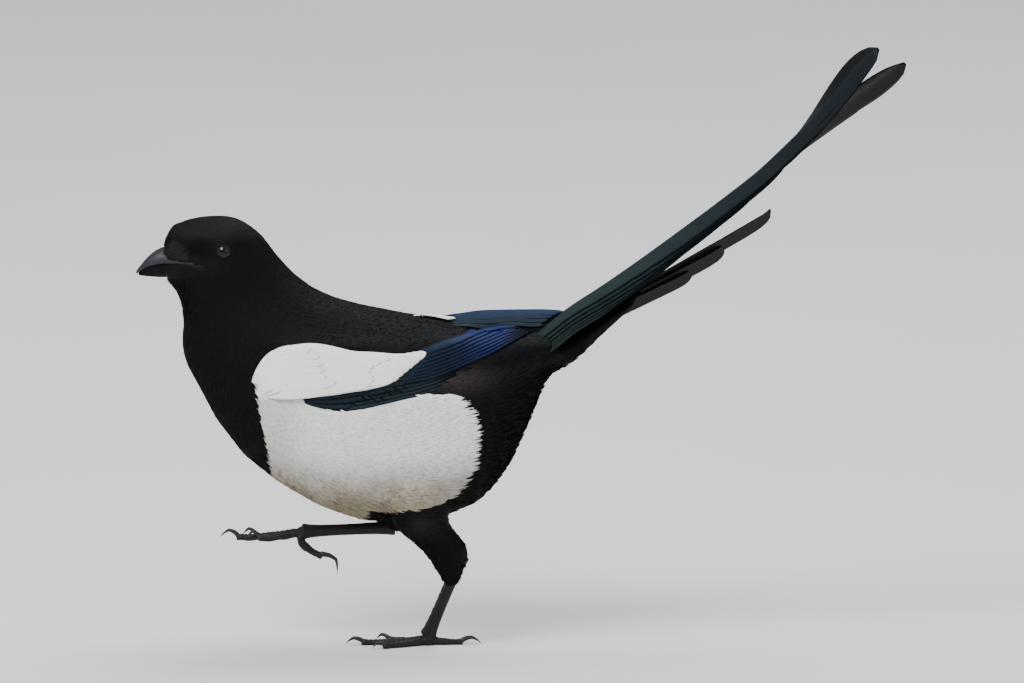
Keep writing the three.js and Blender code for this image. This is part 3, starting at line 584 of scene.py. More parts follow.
def horn_material(name, dark, light, rough, shine, stretch):
    """Bill, claws and leg scales: dark horn with faint streaks and paler clouds."""
    n = Nodes(name)
    streaks = n.noise(900, 5.0, stretch=(stretch, 1, 1))
    cloud = n.noise(220, 4.0)
    n.set(Base_Color=n.blend(n.range(cloud, 0.3, 0.75), dark, light))
    n.set(Roughness=n.range(streaks, 0.3, 0.7, rough - 0.06, rough + 0.1), Specular_IOR_Level=shine)
    n.bump(streaks, 0.18, 0.0002)
    return n.material


def eye_material():
    """Dark brown iris round a black pupil, under a wet cornea."""
    n = Nodes("eye")
    reach = n.number("reach")
    fibre = n.noise(2600, 3.0)
    iris = n.blend(n.range(fibre, 0.3, 0.7), IRIS_DARK, IRIS_BROWN)
    colour = n.blend(n.range(reach, 0.50, 0.56), PUPIL, iris)
    n.set(Base_Color=n.blend(n.range(reach, 0.86, 0.98), colour, LIMBUS))
    n.set(Roughness=n.range(fibre, 0.3, 0.7, 0.08, 0.12), Specular_IOR_Level=0.1)
    n.set(Coat_Weight=0.55, Coat_Roughness=0.02, Coat_IOR=1.4)
    return n.material


def floor_material():
    n = Nodes("floor")
    n.set(Base_Color=n.blend(n.range(n.noise(3, 5.0), 0.3, 0.7), FLOOR_DARK, FLOOR_LIGHT))
    n.set(Roughness=0.9, Specular_IOR_Level=0.1)
    return n.material


PLUMAGE = plumage_material()
VANES = vane_material()
HORN = {name: horn_material(name, *values) for name, values in HORNS.items()}
EYE = eye_material()


# Tufts: length, half width, depth and count for each square millimetre, at even steps along the
# midline from the face to the tail's coverts, and then on the legs
ZONES = np.linspace(0, 1, 9)
TUFTS = {
    "long": ((2.4, 3.4, 5.6, 8.5, 11.0, 12.0, 12.0, 12.0, 13.0), 8.5),
    "half": ((0.24, 0.30, 0.42, 0.56, 0.64, 0.68, 0.68, 0.66, 0.7), 0.5),
    "depth": ((0.45, 0.6, 0.9, 1.2, 1.4, 1.5, 1.5, 1.3, 0.8), 1.4),
    "count": ((5.2, 4.2, 2.5, 1.45, 1.1, 1.05, 1.05, 1.2, 1.3), 1.6),
}
# How high loose tufts stand, how much tufts stray in their lie and height, and the skin's depth below
LOOSE_HEIGHT = 3.2
LIE_NOISE = 0.07
LIFT_NOISE = 0.05
SKIN_SINK = 0.85


def leg_share(points):
    """1 on the feathered legs, 0 on the trunk."""
    share = np.zeros(len(points))
    for thigh in THIGH_LINES.values():
        away = line_field(thigh, points)[0]
        share = np.maximum(share, np.exp(-(away / THIGH_REACH) ** 4) * smooth_step(70, 60, points[:, 2]))
    return share


def tuft_value(points, key):
    """One of the tufts' measures at each point."""
    on_trunk, on_leg = TUFTS[key]
    share = line_field(MIDLINE, points)[2]
    return mix(np.interp(share, ZONES, on_trunk), on_leg, leg_share(points))


def fluff(points):
    """How loosely the tufts stand: close on the back, looser on the belly and most at the vent."""
    x, _, z = points.T
    vent = smooth_step(-45, 0, x) * smooth_step(150, 130, z)
    belly = smooth_step(110, 70, z)
    chin = smooth_step(-164, -170, x) * smooth_step(190, 184, z) * smooth_step(166, 172, z)
    return 0.03 + 0.5 * vent + 0.10 * belly + 0.3 * chin


def markings_and_painted_light(points):
    """The numbers that colour skin and coat alike at each point: the white and sooty patches, painted shade
    on the white, and the lustre and painted sheen on the black.
    """
    places = picture_place(points)
    x, height = places.T
    sooty = np.exp(-((x + 34) / 17) ** 2 - ((height - 133) / 6.5) ** 2) * smooth_step(-58, -48, x)
    under_leg = 0.4 * np.exp(-((x + 51) / 7) ** 2 - ((height - 60) / 6) ** 2)
    # Painted shade: the white is painted darker and warmer low on the belly, just under the scapulars and at
    # the front of the flank, with a warm painted reflection from the ground
    shade = smooth_step(100, 66, height) + 0.12 * smooth_step(130, 118, height)
    shade += 0.35 * smooth_step(-104, -124, x)
    shade *= 1 - smooth_step(122, 126, height)
    level = points[:, 2]
    # Painted sheen: the black is painted paler on the crown, the mantle and the upper body, where light falls
    # on the top, and darkest at the lores; the low even share everywhere is the plumage's own lustre
    crown = smooth_step(204, 211, level) * smooth_step(-100, -125, x)
    mantle = 0.40 * smooth_step(136, 160, level) * smooth_step(-150, -115, x)
    body = 0.16 + 0.22 * smooth_step(-150, -110, x) * smooth_step(110, 150, level)
    gloss = np.maximum(np.maximum(crown, mantle), body)
    lore = np.exp(-((x + 164) / 7) ** 2 - ((level - 200.5) / 4.2) ** 2)
    gloss *= 1 - 0.95 * lore
    return {"white": white_at(points), "sooty": np.maximum(sooty, under_leg), "shade": shade, "gloss": gloss}


def root_uv(points):
    """Each place on an unwrap of the skin: along the trunk's middle line and round it, legs apart."""
    way, share = line_field(MIDLINE, points)[1:]
    middle = np.stack([np.interp(share, ZONES, column) for column in MIDLINE.T], axis=1)
    out = points - middle
    up = np.cross(way, np.array([0, 1, 0]))
    turn = np.arctan2(out[:, 1], (out * -up).sum(axis=1)) / (2 * math.pi)
    places = np.stack([0.02 + 0.74 * share, 0.02 + 0.96 * (turn + 0.5)], axis=1)
    for k, thigh in enumerate(np.array(list(THIGH_LINES.values()), float)):
        leg = line_field(thigh, points)[2]
        on_leg = leg_share(points) * (np.sign(points[:, 1]) == np.sign(thigh[0, 1])) > 0.5
        out = points - (thigh[0] + leg[:, None] * (thigh[1] - thigh[0]))
        turn = np.arctan2(out[:, 1], out[:, 0]) / (2 * math.pi)
        leg_place = np.stack([0.79 + 0.1 * k + 0.09 * (turn + 0.5), 0.02 + 0.96 * leg], axis=1)
        places[on_leg] = leg_place[on_leg]
    return places


# Blades: rows along each tuft, its width and its height above the skin there, as shares
TUFT_ROWS = np.array([0, 0.36, 0.72, 1.0])
TUFT_WIDE = np.array([0.55, 1.0, 0.8, 0.28])
TUFT_HIGH = np.array([-1.0, -0.42, -0.1, 0.0])
TUFT_RIDGE = 0.35
TUFT_TURN = 0.22
BLADE_POINTS = 12
BAKE_PATCH = 0.003


def roots_on(form, density):
    """Root places spread evenly over a form, with the normals there."""
    corners = form.points[form.quads]
    area = np.linalg.norm(np.cross(corners[:, 2] - corners[:, 0], corners[:, 3] - corners[:, 1]), axis=1) / 2
    wanted = density(corners.mean(axis=1)) * area
    chosen = np.repeat(np.arange(len(wanted)), np.floor(wanted + random.random(len(wanted))).astype(int))
    a, b = random.random((2, len(chosen), 1))
    weights = np.stack([(1 - a) * (1 - b), a * (1 - b), a * b, (1 - a) * b], axis=1)
    normals = form.normals[form.quads[chosen]]
    return (corners[chosen] * weights).sum(axis=1), unit((normals * weights).sum(axis=1))


def blades(centres, outs, ways, long, half):
    """Points, triangles, normals, places along and map patches of blades with four rows of three points."""
    count = centres.shape[1]
    side = unit(np.cross(outs, ways))
    reach = half[None, :, None] * TUFT_WIDE[:, None, None]
    drop = outs * reach * TUFT_RIDGE
    last = (np.arange(4) == 3)[:, None, None] * ways * long[None, :, None]
    skew = last * random.uniform(-0.08, 0.08, (1, count, 1))
    left = centres - side * reach - drop + skew
    right = centres + side * reach - drop - skew
    points = np.stack([left, centres - last * 0.12, right], axis=2)
    bent = np.stack([unit(outs - TUFT_TURN * side), outs, unit(outs + TUFT_TURN * side)], axis=2)
    points, bent = (rows.transpose(1, 0, 2, 3).reshape(-1, 3) for rows in (points, bent))
    pattern = []
    for a in (0, 1, 3, 4, 6, 7):
        pattern += [(a, a + 4, a + 1), (a, a + 3, a + 4)]
    faces = (np.array(pattern)[None] + BLADE_POINTS * np.arange(count)[:, None, None]).reshape(-1, 3)
    along = np.tile(np.repeat(TUFT_ROWS, 3), count)
    patch = np.stack([np.tile([-0.5, 0, 0.5], 4), np.repeat(TUFT_ROWS - 0.5, 3)], axis=1) * BAKE_PATCH
    return points, faces, bent, along, patch


def lay_tufts(form, places, normals, long, depth, stand):
    """Centre lines, outs and ways of tufts that are rooted at places and laid along the form."""
    way = lie_at(places) + random.normal(0, LIE_NOISE, (len(places), 3))
    centres = [places]
    outs = [normals]
    ways = []
    for last, share in zip(TUFT_ROWS, TUFT_ROWS[1:]):
        way = unit(way - (way * outs[-1]).sum(axis=1)[:, None] * outs[-1])
        ways.append(way)
        here, out = form.settle(centres[-1] + way * ((share - last) * long)[:, None])
        centres.append(here)
        outs.append(out)
    lift = random.normal(0, LIFT_NOISE, len(places)) * depth
    high = TUFT_HIGH[:, None] * depth + lift + stand * (TUFT_ROWS ** 2)[:, None]
    outs = np.array(outs)
    return np.array(centres) + outs * high[..., None], outs, np.array(ways + [way])


def tuft_piece(name, laid, places, long, half, numbers):
    """One coat piece of tufts that were laid at places, coloured by numbers per tuft."""
    points, faces, bent, along, patch = blades(*laid, long, half)
    numbers = {key: np.repeat(value, BLADE_POINTS) for key, value in numbers.items()}
    numbers["along"] = along
    uv = (root_uv(places)[:, None] + patch[None]).reshape(-1, 2)
    slot = "white_and_black_feathers" if numbers["white"].mean() > 0.05 else "black_feathers"
    mesh_object(name, points, faces, PLUMAGE, slot, numbers, bent, {"OFBake": uv})


# The middle of each coat piece; a tuft belongs to the nearest
COAT_PIECES = {
    "coat_face": (-176, 0, 200),
    "coat_crown": (-146, 0, 216),
    "coat_throat": (-172, 0, 160),
    "coat_nape": (-124, 0, 190),
    "coat_neck_left": (-146, -24, 160),
    "coat_neck_right": (-146, 24, 160),
    "coat_breast": (-140, 0, 96),
    "coat_mantle": (-76, 0, 172),
    "coat_side_left": (-90, -38, 115),
    "coat_side_right": (-90, 38, 115),
    "coat_flank_left": (-42, -38, 105),
    "coat_flank_right": (-42, 38, 105),
    "coat_belly": (-75, 0, 70),
    "coat_rump": (-10, 0, 165),
    "coat_tail_root": (34, 0, 165),
    "coat_vent": (-2, 0, 95),
    "coat_leg_left": (-44, -20, 52),
    "coat_leg_right": (-70, 22, 58),
}


def under_horn(points):
    """True where the bill's horn lies over the face."""
    return inside(HORN_PATCH, picture_place(points)) & (points[:, 0] < HORN_REAR)


def build_skin(form, eyes):
    """The skin under the coat: the form drawn in by the coat's depth, and under the eyes and the horn."""
    points = form.points - form.normals * (SKIN_SINK * tuft_value(form.points, "depth"))[:, None]
    for eye in eyes:
        away = np.linalg.norm(points - eye, axis=1)
        sunk = smooth_step(EYE_SHOWS + SOCKET_OUTER, EYE_SHOWS - SOCKET_INNER, away)
        points -= form.normals * (SOCKET_DEPTH * sunk)[:, None]
    points -= form.normals * (HORN_SINK * under_horn(form.points))[:, None]
    numbers = markings_and_painted_light(points)
    # The skin takes the tufts' painted root shade at a fixed share along
    numbers["along"] = np.full(len(points), 0.35)
    numbers["tone"] = np.full(len(points), 0.3)
    halves = [t for a, b, c, d in form.quads.tolist() for t in ((a, b, c), (a, c, d))]
    triangles = [t for t in halves if len(set(t)) == 3]
    uv = {"OFBake": root_uv(form.points)}
    skin = mesh_object("skin", points, triangles, PLUMAGE, "black_feathers", numbers, None, uv)
    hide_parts(*FLESH_NODES)


def under_vanes(points):
    """True where flat feathers lie over the body, more than a little from the edge of their field."""
    places = picture_place(points)
    hidden = np.zeros(len(points), bool)
    for outline, margin in ((WING_BAND, 1.0), (SCAPULAR_PATCH, 1.6)):
        hidden |= inside(outline, places) & (edge_distance(outline, places) > margin)
    roof = inside(FAR_ROOF, points[:, :2]) | inside(NEAR_ROOF, points[:, :2])
    return hidden | (roof & (points[:, 2] > ROOF_LEVEL))


def build_coat(form, eyes):
    """Tufts over the whole skin, apart from the eyes, the horn and what the wings cover."""
    def density(points):
        wanted = tuft_value(points, "count")
        for eye in eyes:
            wanted = wanted * (np.linalg.norm(points - eye, axis=1) > LID_REACH)
        return wanted * ~(under_vanes(points) | under_horn(points))

    places, normals = roots_on(form, density)
    long = tuft_value(places, "long") * random.uniform(0.85, 1.2, len(places))
    half = tuft_value(places, "half") * random.uniform(0.8, 1.2, len(places))
    depth = tuft_value(places, "depth")
    stand = LOOSE_HEIGHT * random.random(len(places)) ** 2 * fluff(places) * depth
    anchors = np.array(list(COAT_PIECES.values()), float)
    owner = np.linalg.norm(places[:, None] - anchors[None], axis=2).argmin(axis=1)
    for k, name in enumerate(COAT_PIECES):
        mine = owner == k
        laid = lay_tufts(form, places[mine], normals[mine], long[mine], depth[mine], stand[mine])
        numbers = markings_and_painted_light(laid[0][2])
        numbers["tone"] = random.random(mine.sum())
        tuft_piece(name, laid, places[mine], long[mine], half[mine], numbers)


# Flat feathers
UNDER_GLOSS = 0.15


def smooth_path(points, count):
    """A smooth curve through points, at evenly numbered places."""
    points = np.array(points, float)
    padded = np.vstack([2 * points[0] - points[1], points, 2 * points[-1] - points[-2]])
    at = np.linspace(0, len(points) - 1, count)
    k = np.minimum(at.astype(int), len(points) - 2)
    f = (at - k)[:, None]
    a, b, c, d = (padded[k + j] for j in range(4))
    pull = 2 * a - 5 * b + 4 * c - d
    bend = 3 * b - a - 3 * c + d
    return b + 0.5 * ((c - a) * f + pull * f ** 2 + bend * f ** 3)


class Vanes:
    """Collects flat feathers as closed thin solids for one piece."""

    def __init__(self):
        self.points = []
        self.faces = []
        self.numbers = {"gloss": [], "hue": [], "white": [], "tone": []}
        self.barb_places = []
        self.shares = []
        self.total = 0

    def add(self, outer, under, long, half, colours):
        """One feather from its outer face and its under face, as rows of points across it."""
        rows, columns = outer.shape[:2]
        row, column = rows // 2, columns // 2
        along = outer[row + 1, column] - outer[row - 1, column]
        across = outer[row, column + 1] - outer[row, column - 1]
        turned = np.cross(along, across) @ (outer[row, column] - under[row, column]) < 0
        order = slice(None, None, -1 if turned else 1)
        outer, under = outer[:, order], under[:, order]
        inner = np.zeros((rows, columns), bool)
        inner[1:-1, 1:-1] = True

        def both_faces(sheet):
            return np.concatenate([sheet.reshape(-1, *sheet.shape[2:]), sheet[inner]])

        top = np.arange(rows * columns).reshape(rows, columns)
        low = top.copy()
        low[inner] = rows * columns + np.arange(inner.sum())
        for sheet, corners in ((top, [0, 1, 2, 3]), (low, [0, 3, 2, 1])):
            quads = np.stack([sheet[:-1, :-1], sheet[1:, :-1], sheet[1:, 1:], sheet[:-1, 1:]], axis=-1)
            self.faces.append(quads.reshape(-1, 4)[:, corners] + self.total)
        self.points.append(np.vstack([outer.reshape(-1, 3), under[inner]]))
        self.total += len(self.points[-1])
        for key, value in colours.items():
            value = both_faces(np.broadcast_to(value, (rows, columns)).astype(float)[:, order])
            value[rows * columns:] *= UNDER_GLOSS if key == "gloss" else 1
            self.numbers[key].append(value)
        along, across = np.meshgrid(np.linspace(0, 1, rows), np.linspace(-1, 1, columns), indexing="ij")
        self.shares.append(both_faces(np.stack([along, across], axis=-1)))
        self.barb_places.append(both_faces(np.stack([along * long, across * half[:, None]], axis=-1)))

    def bake_places(self):
        """Each feather's own strip of the bake map."""
        count = len(self.shares)
        places = []
        for k, (along, across) in enumerate(share.T for share in self.shares):
            places.append(np.stack([0.02 + 0.96 * along, (k + 0.5) / count + 0.46 * across / count], axis=1))
        return np.vstack(places)

    def build(self, name, slot):
        numbers = {key: np.concatenate(value) for key, value in self.numbers.items()}
        uv = {"OFBake": self.bake_places(), "Vane": np.vstack(self.barb_places)}
        points, faces = np.vstack(self.points), np.vstack(self.faces)
        return mesh_object(name, points, faces, VANES, slot, numbers, None, uv)


def worn_edge(rows, columns, chance, depth):
    """How far each row's two edges reach, with small random splits between barbs."""
    reach = np.ones((rows, columns))
    for column in (0, -1):
        split = random.random(rows) < chance
        reach[:, column] -= split * random.uniform(0.3, 1, rows) * depth
    return reach


# The tail's ridge in side view, x and z: the near half's, and the far middle feather's beyond it
TAIL_RIDGE = [
    (-4, 150.5), (8.4, 159.6), (22, 171.0), (39.4, 182.6), (58.1, 195.8), (82.9, 214.2), (95.4, 223.6),
    (114, 238.2), (126.5, 249.6), (145.2, 268), (157.6, 282.4), (167.6, 295), (180.5, 306.2),
]
FAR_RIDGE = TAIL_RIDGE[:8] + [(126.5, 248.6), (158, 273.8), (193.5, 300)]
TAIL_LAYER = 0.45
TAIL_U = np.linspace(0, 1, 60)
TAIL_W = np.linspace(-1, 1, 11)[None]
TAIL_THICK = 0.34
FOLD_SOFTNESS = 1.4
# Feathers on the ridge: side, length, half width, place across at the root and tip, layer, and the
# slope of the outer web at the root, half way and at the tip, where the inner web stands flat too
RIDGE_FEATHERS = [
    (-1, 237.5, 12.0, -1.0, -1.0, 0, 0.50, 0.46, 0.50),
    (1, 242, 12.0, 1.5, 4.0, 1, 0.45, 0.45, 0.72),
    (-1, 205, 11.2, -3.0, -2.0, 2, 0.50, 0.46, 0.44),
    (1, 200, 11.5, 4.0, 4.0, 3, 0.45, 0.45, 0.45),
    (-1, 169.5, 10.5, -4.5, -3.0, 4, 0.50, 0.46, 0.44),
    (1, 168, 11.0, 6.0, 6.0, 5, 0.45, 0.45, 0.45),
    (-1, 147, 9.6, -6.2, -3.9, 6, 0.50, 0.46, 0.44),
    (-1, 129.5, 9.0, -7.8, -4.5, 7, 0.50, 0.46, 0.44),
    (-1, 103.6, 8.6, -9.4, -5.4, 8, 0.50, 0.46, 0.44),
]
# Far outer feathers that hang below the rest: length, half width, rise in degrees, across at root and tip
HANGING_ROOT = (3.4, 150.5)
HANGING_FEATHERS = [(138, 6.0, 29.6, 12, 20), (109, 6.2, 27.4, 14, 22), (89, 5.6, 25.2, 16, 23)]
HANGING_SLOPE = 0.66


def rising_side(tangent):
    """The way up from a path in the middle plane."""
    return unit(np.stack([-tangent[:, 2], 0 * tangent[:, 0], tangent[:, 0]], axis=1))


def tail_feather(vanes, long, half, root, tip, middle, up, profile, side=1, near=False):
    """A tail feather, green at its root to slate blue, with a black inner web and tip.

    The profile gives its height over the shaft and its thickness, from places across the bird and
    from the feather's lower edge.
    """
    width = half * mix(0.35, 1, np.minimum(1, TAIL_U * 2.4)) * np.sqrt(np.maximum(0.02, 1 - TAIL_U ** 26))
    centre = mix(root, tip, TAIL_U)[:, None]
    y = centre + TAIL_W * width[:, None] * worn_edge(TAIL_U.size, TAIL_W.size, 0.1, 0.05)
    high, thick = profile(y, y - centre + width[:, None])
    outer = middle[:, None] + up[:, None] * high[..., None]
    outer[..., 1] = y
    under = outer - up[:, None] * thick[..., None]
    # Painted shade: feathers of the far half, and those that hang below, keep only a quarter of their sheen
    gloss = mix(0.3, 1.0, smooth_step(-0.25, 0.1, TAIL_W * side)) * (1 if near else 0.25)
    gloss = gloss * mix(1, 0.3, smooth_step(0.1, 0.8, TAIL_U))[:, None] * (1 - 0.5 * np.abs(TAIL_W) ** 10)
    hue = mix(0.0, 0.12, smooth_step(0, 0.6, TAIL_U))[:, None]
    vanes.add(outer, under, long, width, {"gloss": gloss, "hue": hue, "white": 0, "tone": random.random()})


def ridge_feather(vanes, side, long, half, root, tip, layer, slopes):
    """A tail feather folded over the ridge like a roof, its inner web standing flat near the tip."""
    ridge = FAR_RIDGE if side > 0 and layer == 1 else TAIL_RIDGE
    line = smooth_path([(x, 0, z) for x, z in ridge], 240)
    run = np.concatenate([[0], np.cumsum(np.linalg.norm(np.diff(line, axis=0), axis=1))])
    at = np.minimum(TAIL_U * long, run[-1])
    middle = np.stack([np.interp(at, run, column) for column in line.T], axis=1)

    def roof(y, _):
        slope = np.interp(TAIL_U, [0, 0.55, 0.92], slopes)[:, None]
        flat = smooth_step(0.62, 0.92, TAIL_U)[:, None] * (layer < 2)
        fold = np.sqrt(y ** 2 + FOLD_SOFTNESS ** 2) - FOLD_SOFTNESS
        shaft = 0.3 * np.exp(-(TAIL_W / 0.10) ** 2) * np.linspace(1, 0.25, TAIL_U.size)[:, None]
        high = -slope * fold * np.where(y * side < 0, 1 - 2 * flat, 1)
        high = high - TAIL_LAYER * layer + shaft - 0.35 * TAIL_W ** 2
        return high, TAIL_THICK * (1 - TAIL_W ** 2) * np.linspace(1, 0.6, TAIL_U.size)[:, None] + 1.3 * shaft

    up = rising_side(unit(np.gradient(middle, axis=0)))
    tail_feather(vanes, long, half, root, tip, middle, up, roof, side, side < 0)


def hanging_feather(vanes, long, half, rise, root, tip, layer):
    """A far outer tail feather that hangs below the rest and shows its under side."""
    way = np.array([math.cos(math.radians(rise)), 0, math.sin(math.radians(rise))])
    start = np.array([HANGING_ROOT[0], 0, HANGING_ROOT[1] - layer])
    middle = start + way * (TAIL_U * long)[:, None]

    def slant(_, from_edge):
        high = -HANGING_SLOPE * from_edge - 0.4 * TAIL_W ** 2
        return high, TAIL_THICK * (1 - TAIL_W ** 2)

    tail_feather(vanes, long, half, root, tip, middle, rising_side(way + 0 * middle), slant)


def build_tail():
    feathers = Vanes()
    for side, long, half, root, tip, layer, *slopes in RIDGE_FEATHERS:
        ridge_feather(feathers, side, long, half, root, tip, layer, slopes)
    for layer, feather in enumerate(HANGING_FEATHERS):
        hanging_feather(feathers, *feather, 0.5 * layer)
    tail = feathers.build("tail_feathers", "tail_feathers")
    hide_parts("tail")


def tail_core():
    """The feathered root of the tail, under its ridge."""
    rings = []
    line = smooth_path([(0, 0, 143), (22, 0, 159.5), (39.4, 0, 173), (54, 0, 184)], 10)
    up = rising_side(unit(np.gradient(line, axis=0)))
    turn = np.linspace(0, 2 * math.pi, 20, endpoint=False)[:, None]
    for centre, out, wide, deep in zip(line, up, np.linspace(12, 6, 10), np.linspace(7.5, 1.6, 10)):
        rings.append(centre + out * deep * np.cos(turn) + np.array([0, 1, 0]) * wide * np.sin(turn))
    return loft(rings)


# The folded wing in the side view, as x and height in the picture, for either side of the bird: the
# lower and upper edges of the greenish primaries and coverts, and of the blue feathers over them
TEAL_LOW = [
    (-113, 123.8), (-105.5, 120.9), (-98, 119.2), (-91, 118.3), (-81.7, 119.3), (-74.5, 120.7), (-62, 123.8),
    (-48.5, 127), (-36, 131.5), (-24, 137), (-12, 143),
]
TEAL_HIGH = [
    (-113, 124.6), (-102.4, 125.6), (-86.9, 129), (-75.5, 132), (-62, 135), (-47.5, 137.4), (-36, 142),
    (-24, 147), (-12, 152),
]
BLUE_LOW = [
    (-76, 129), (-62, 132), (-47.5, 134.6), (-38, 138.4), (-28.9, 142.7), (-17.4, 147.3), (-8.1, 151.8),
    (-0.9, 155.0), (9, 159.5),
]
BLUE_HIGH = [
    (-76, 136), (-62, 141.6), (-46.5, 147.8), (-34, 152), (-22.6, 155.8), (-12.3, 158), (-1.9, 158.8),
    (9, 160),
]
WING_BAND = (TEAL_LOW[:8] + [(-44, 132.5)] + BLUE_LOW[3:8] + BLUE_HIGH[6:1:-1] + SCAPULAR_REAR[::-1]
             + SCAPULAR_LOW[:1:-1])
# The top of the folded wings over the rump, seen from above, as x and y, and where it begins in height
FAR_ROOF = [(-44, 6), (-40, 1), (32, 1), (34, 14), (-40, 17)]
NEAR_ROOF = [(-25, -1), (-3, -1), (-3, -14), (-22, -13)]
ROOF_LEVEL = 152
ROOF_COUNT = 8
VANE_THICK = 0.28
WING_ROWS = 30
WING_COLUMNS = 7
WING_U = np.linspace(0, 1, WING_ROWS)
WING_W = np.linspace(-1, 1, WING_COLUMNS)[None]


def laid_feather(vanes, form, path, half, lift, tilt, gloss, hue=0, white=0, bow=0.05):
    """One feather along a path over the form, its half width and lift given row by row."""
    colours = {"gloss": gloss, "hue": hue, "white": white, "tone": random.random()}
    places, outs = form.settle(smooth_path(path, WING_ROWS))
    side = unit(np.cross(unit(np.gradient(places, axis=0)), outs))
    side *= np.sign(side[:, 2:3] + 1e-9)
    wide = half[:, None]
    reach = WING_W * wide * worn_edge(WING_ROWS, WING_COLUMNS, 0.08, 0.1)
    spots = places[:, None] + side[:, None] * reach[..., None]
    laid, ways = (found.reshape(spots.shape) for found in form.settle(spots.reshape(-1, 3)))
    ridge = 0.16 * np.exp(-(WING_W / 0.14) ** 2) * np.linspace(1, 0.2, WING_ROWS)[:, None]
    high = lift[:, None] - tilt * WING_W * wide + ridge - bow * WING_W ** 2 * wide
    outer = laid + ways * high[..., None]
    under = outer - ways * (VANE_THICK * (1 - WING_W ** 2) + 1.4 * ridge)[..., None]
    long = np.linalg.norm(np.diff(places, axis=0), axis=1).sum()
    vanes.add(outer, under, long, half, colours)


def guided(low, high, f, start, end):
    """A route between two guides: f goes from the lower to the upper one, start and end along them."""
    u = np.linspace(start, end, WING_ROWS) * 80
    line = mix(smooth_path(low, 81), smooth_path(high, 81), f)
    return np.stack([np.interp(u, np.arange(81), column) for column in line.T], axis=1)


def vane_half(half, root, power):
    """Half width along a wing feather: narrower at the root, with a rounded tip."""
    return half * mix(root, 1, np.minimum(1, WING_U * 2.2)) * np.sqrt(np.maximum(0.01, 1 - WING_U ** power))


def rising(rooted, free, share):
    """The lift along a wing feather, from its rooted end to where it lies free."""
    return mix(rooted, free, smooth_step(0, share, WING_U))


def dark_edge(wide):
    """1 over most of a wing feather, and 0 along its lower edge."""
    return 1 - np.exp(-((WING_W + 0.96) / wide) ** 2)


def teal_feathers(wing, form, side):
    """Primaries and primary coverts along the wing's lower edge."""
    for k, f in enumerate(np.linspace(0.05, 1.25, 8)):
        route = guided(TEAL_LOW, TEAL_HIGH, f, mix(0.02, 0.22, f), mix(0.9, 0.98, f))
        gloss = np.where(WING_W < 0.3, 0.9, 0.5) * dark_edge(0.3) * smooth_step(-34, -50, route[:, :1])
        hue = random.uniform(0.1, 0.2)
        lift = rising(-1.4, -0.5 + 0.12 * k, 0.2)
        half = vane_half(2.2, 0.7, 10)
        laid_feather(wing, form, form.seen(route, side), half, lift, 0.12, 1.8 * gloss, hue)
    for k, f in enumerate(np.linspace(0.1, 0.9, 4)):
        route = guided(TEAL_LOW, TEAL_HIGH, f, mix(0.0, 0.12, f), mix(0.34, 0.46, f))
        gloss = 0.75 * dark_edge(0.35)
        lift = rising(-1.0, 0.1 + 0.12 * k, 0.25)
        laid_feather(wing, form, form.seen(route, side), vane_half(1.9, 0.6, 8), lift, 0.12, gloss, 0.2)


def blue_feathers(wing, form, side):
    """Secondaries with blue outer webs, stacked from the wing's lower edge up to the tertials."""
    for k, f in enumerate(np.linspace(0.02, 0.98, 8)):
        route = guided(BLUE_LOW, BLUE_HIGH, f, mix(0.0, 0.12, f), mix(0.94, 0.84, f))
        x = route[:, :1]
        gloss = np.where(WING_W < 0.35, 1.0, 0.2) * dark_edge(0.34) * (1 - 0.85 * smooth_step(-12, -2, x))
        hue = 0.42 + 0.58 * smooth_step(-44, -20, x)
        lift = rising(-1.2, 0.6 + 0.11 * k, 0.25)
        laid_feather(wing, form, form.seen(route, side), vane_half(2.8, 0.6, 9), lift, 0.13, gloss, hue)


def roof_feathers(wing, form, side):
    """Tertials and secondaries on top of the folded wing, seen from above."""
    far = side > 0
    for k, f in enumerate(np.linspace(0, 1, ROOF_COUNT)):
        start, end = (mix(-40, -50, f), mix(10, 28, f)) if far else (mix(-30, -34, f), mix(-8, -1, f))
        y = side * (mix(2.5, 15.5, f) - 2.0 * WING_U * f)
        path = form.below(np.linspace(start, end, WING_ROWS), y)
        gloss = (1.3 if far else 0.9) * (1 - 0.7 * np.exp(-((np.abs(WING_W) - 0.97) / 0.16) ** 2))
        hue = mix(0.15, 0.6, smooth_step(0, 0.6, f)) if far else 0.85
        lift = rising(-1.0, 0.2 + 0.07 * (ROOF_COUNT - k), 0.22)
        laid_feather(wing, form, path, vane_half(2.3, 0.7, 9), lift, 0.08, gloss, hue)


def build_scapulars(form):
    """The white scapulars over each wing's root, in tiers from the rear to the front."""
    low = SCAPULAR_LOW + [SCAPULAR_REAR[0]]
    for name, side in SIDES.items():
        patch = Vanes()
        for tier, (start, end) in enumerate(((0.45, 1.0), (0.22, 0.75), (0.0, 0.48))):
            for k, f in enumerate(np.linspace(0.08, 0.9, 7)):
                shift = random.uniform(-0.04, 0.04) * (tier > 0)
                route = guided(low, SCAPULAR_TOP, f, max(0, start + shift), min(1, end + shift))
                lift = rising(-1.0, 1.3 + 0.14 * tier + 0.03 * (6 - k), 0.3)
                half = vane_half(3.2 - 0.9 * (k == 0), 0.8, 5)
                tilt = 0.015 * (2 - tier)
                laid_feather(patch, form, form.seen(route, side), half, lift, tilt, 0, 0, 1, 0.01)
        patch.build(f"scapulars_{name}", "white_and_black_feathers")


def build_far_sliver(form):
    """The white far scapulars that show over the back, in front of the far wing's top."""
    feathers = Vanes()
    for k in range(3):
        x = np.linspace(-58 + 2 * k, -37 + 1.5 * k, WING_ROWS)
        path = form.below(x, mix(0.5 + 0.7 * k, 3.2 + 1.2 * k, WING_U))
        lift = rising(-1.0, 1.3 + 0.1 * k, 0.35)
        laid_feather(feathers, form, path, vane_half(1.5, 0.7, 4), lift, 0.05, 0, 0, 1)
    feathers.build("far_scapulars", "white_and_black_feathers")


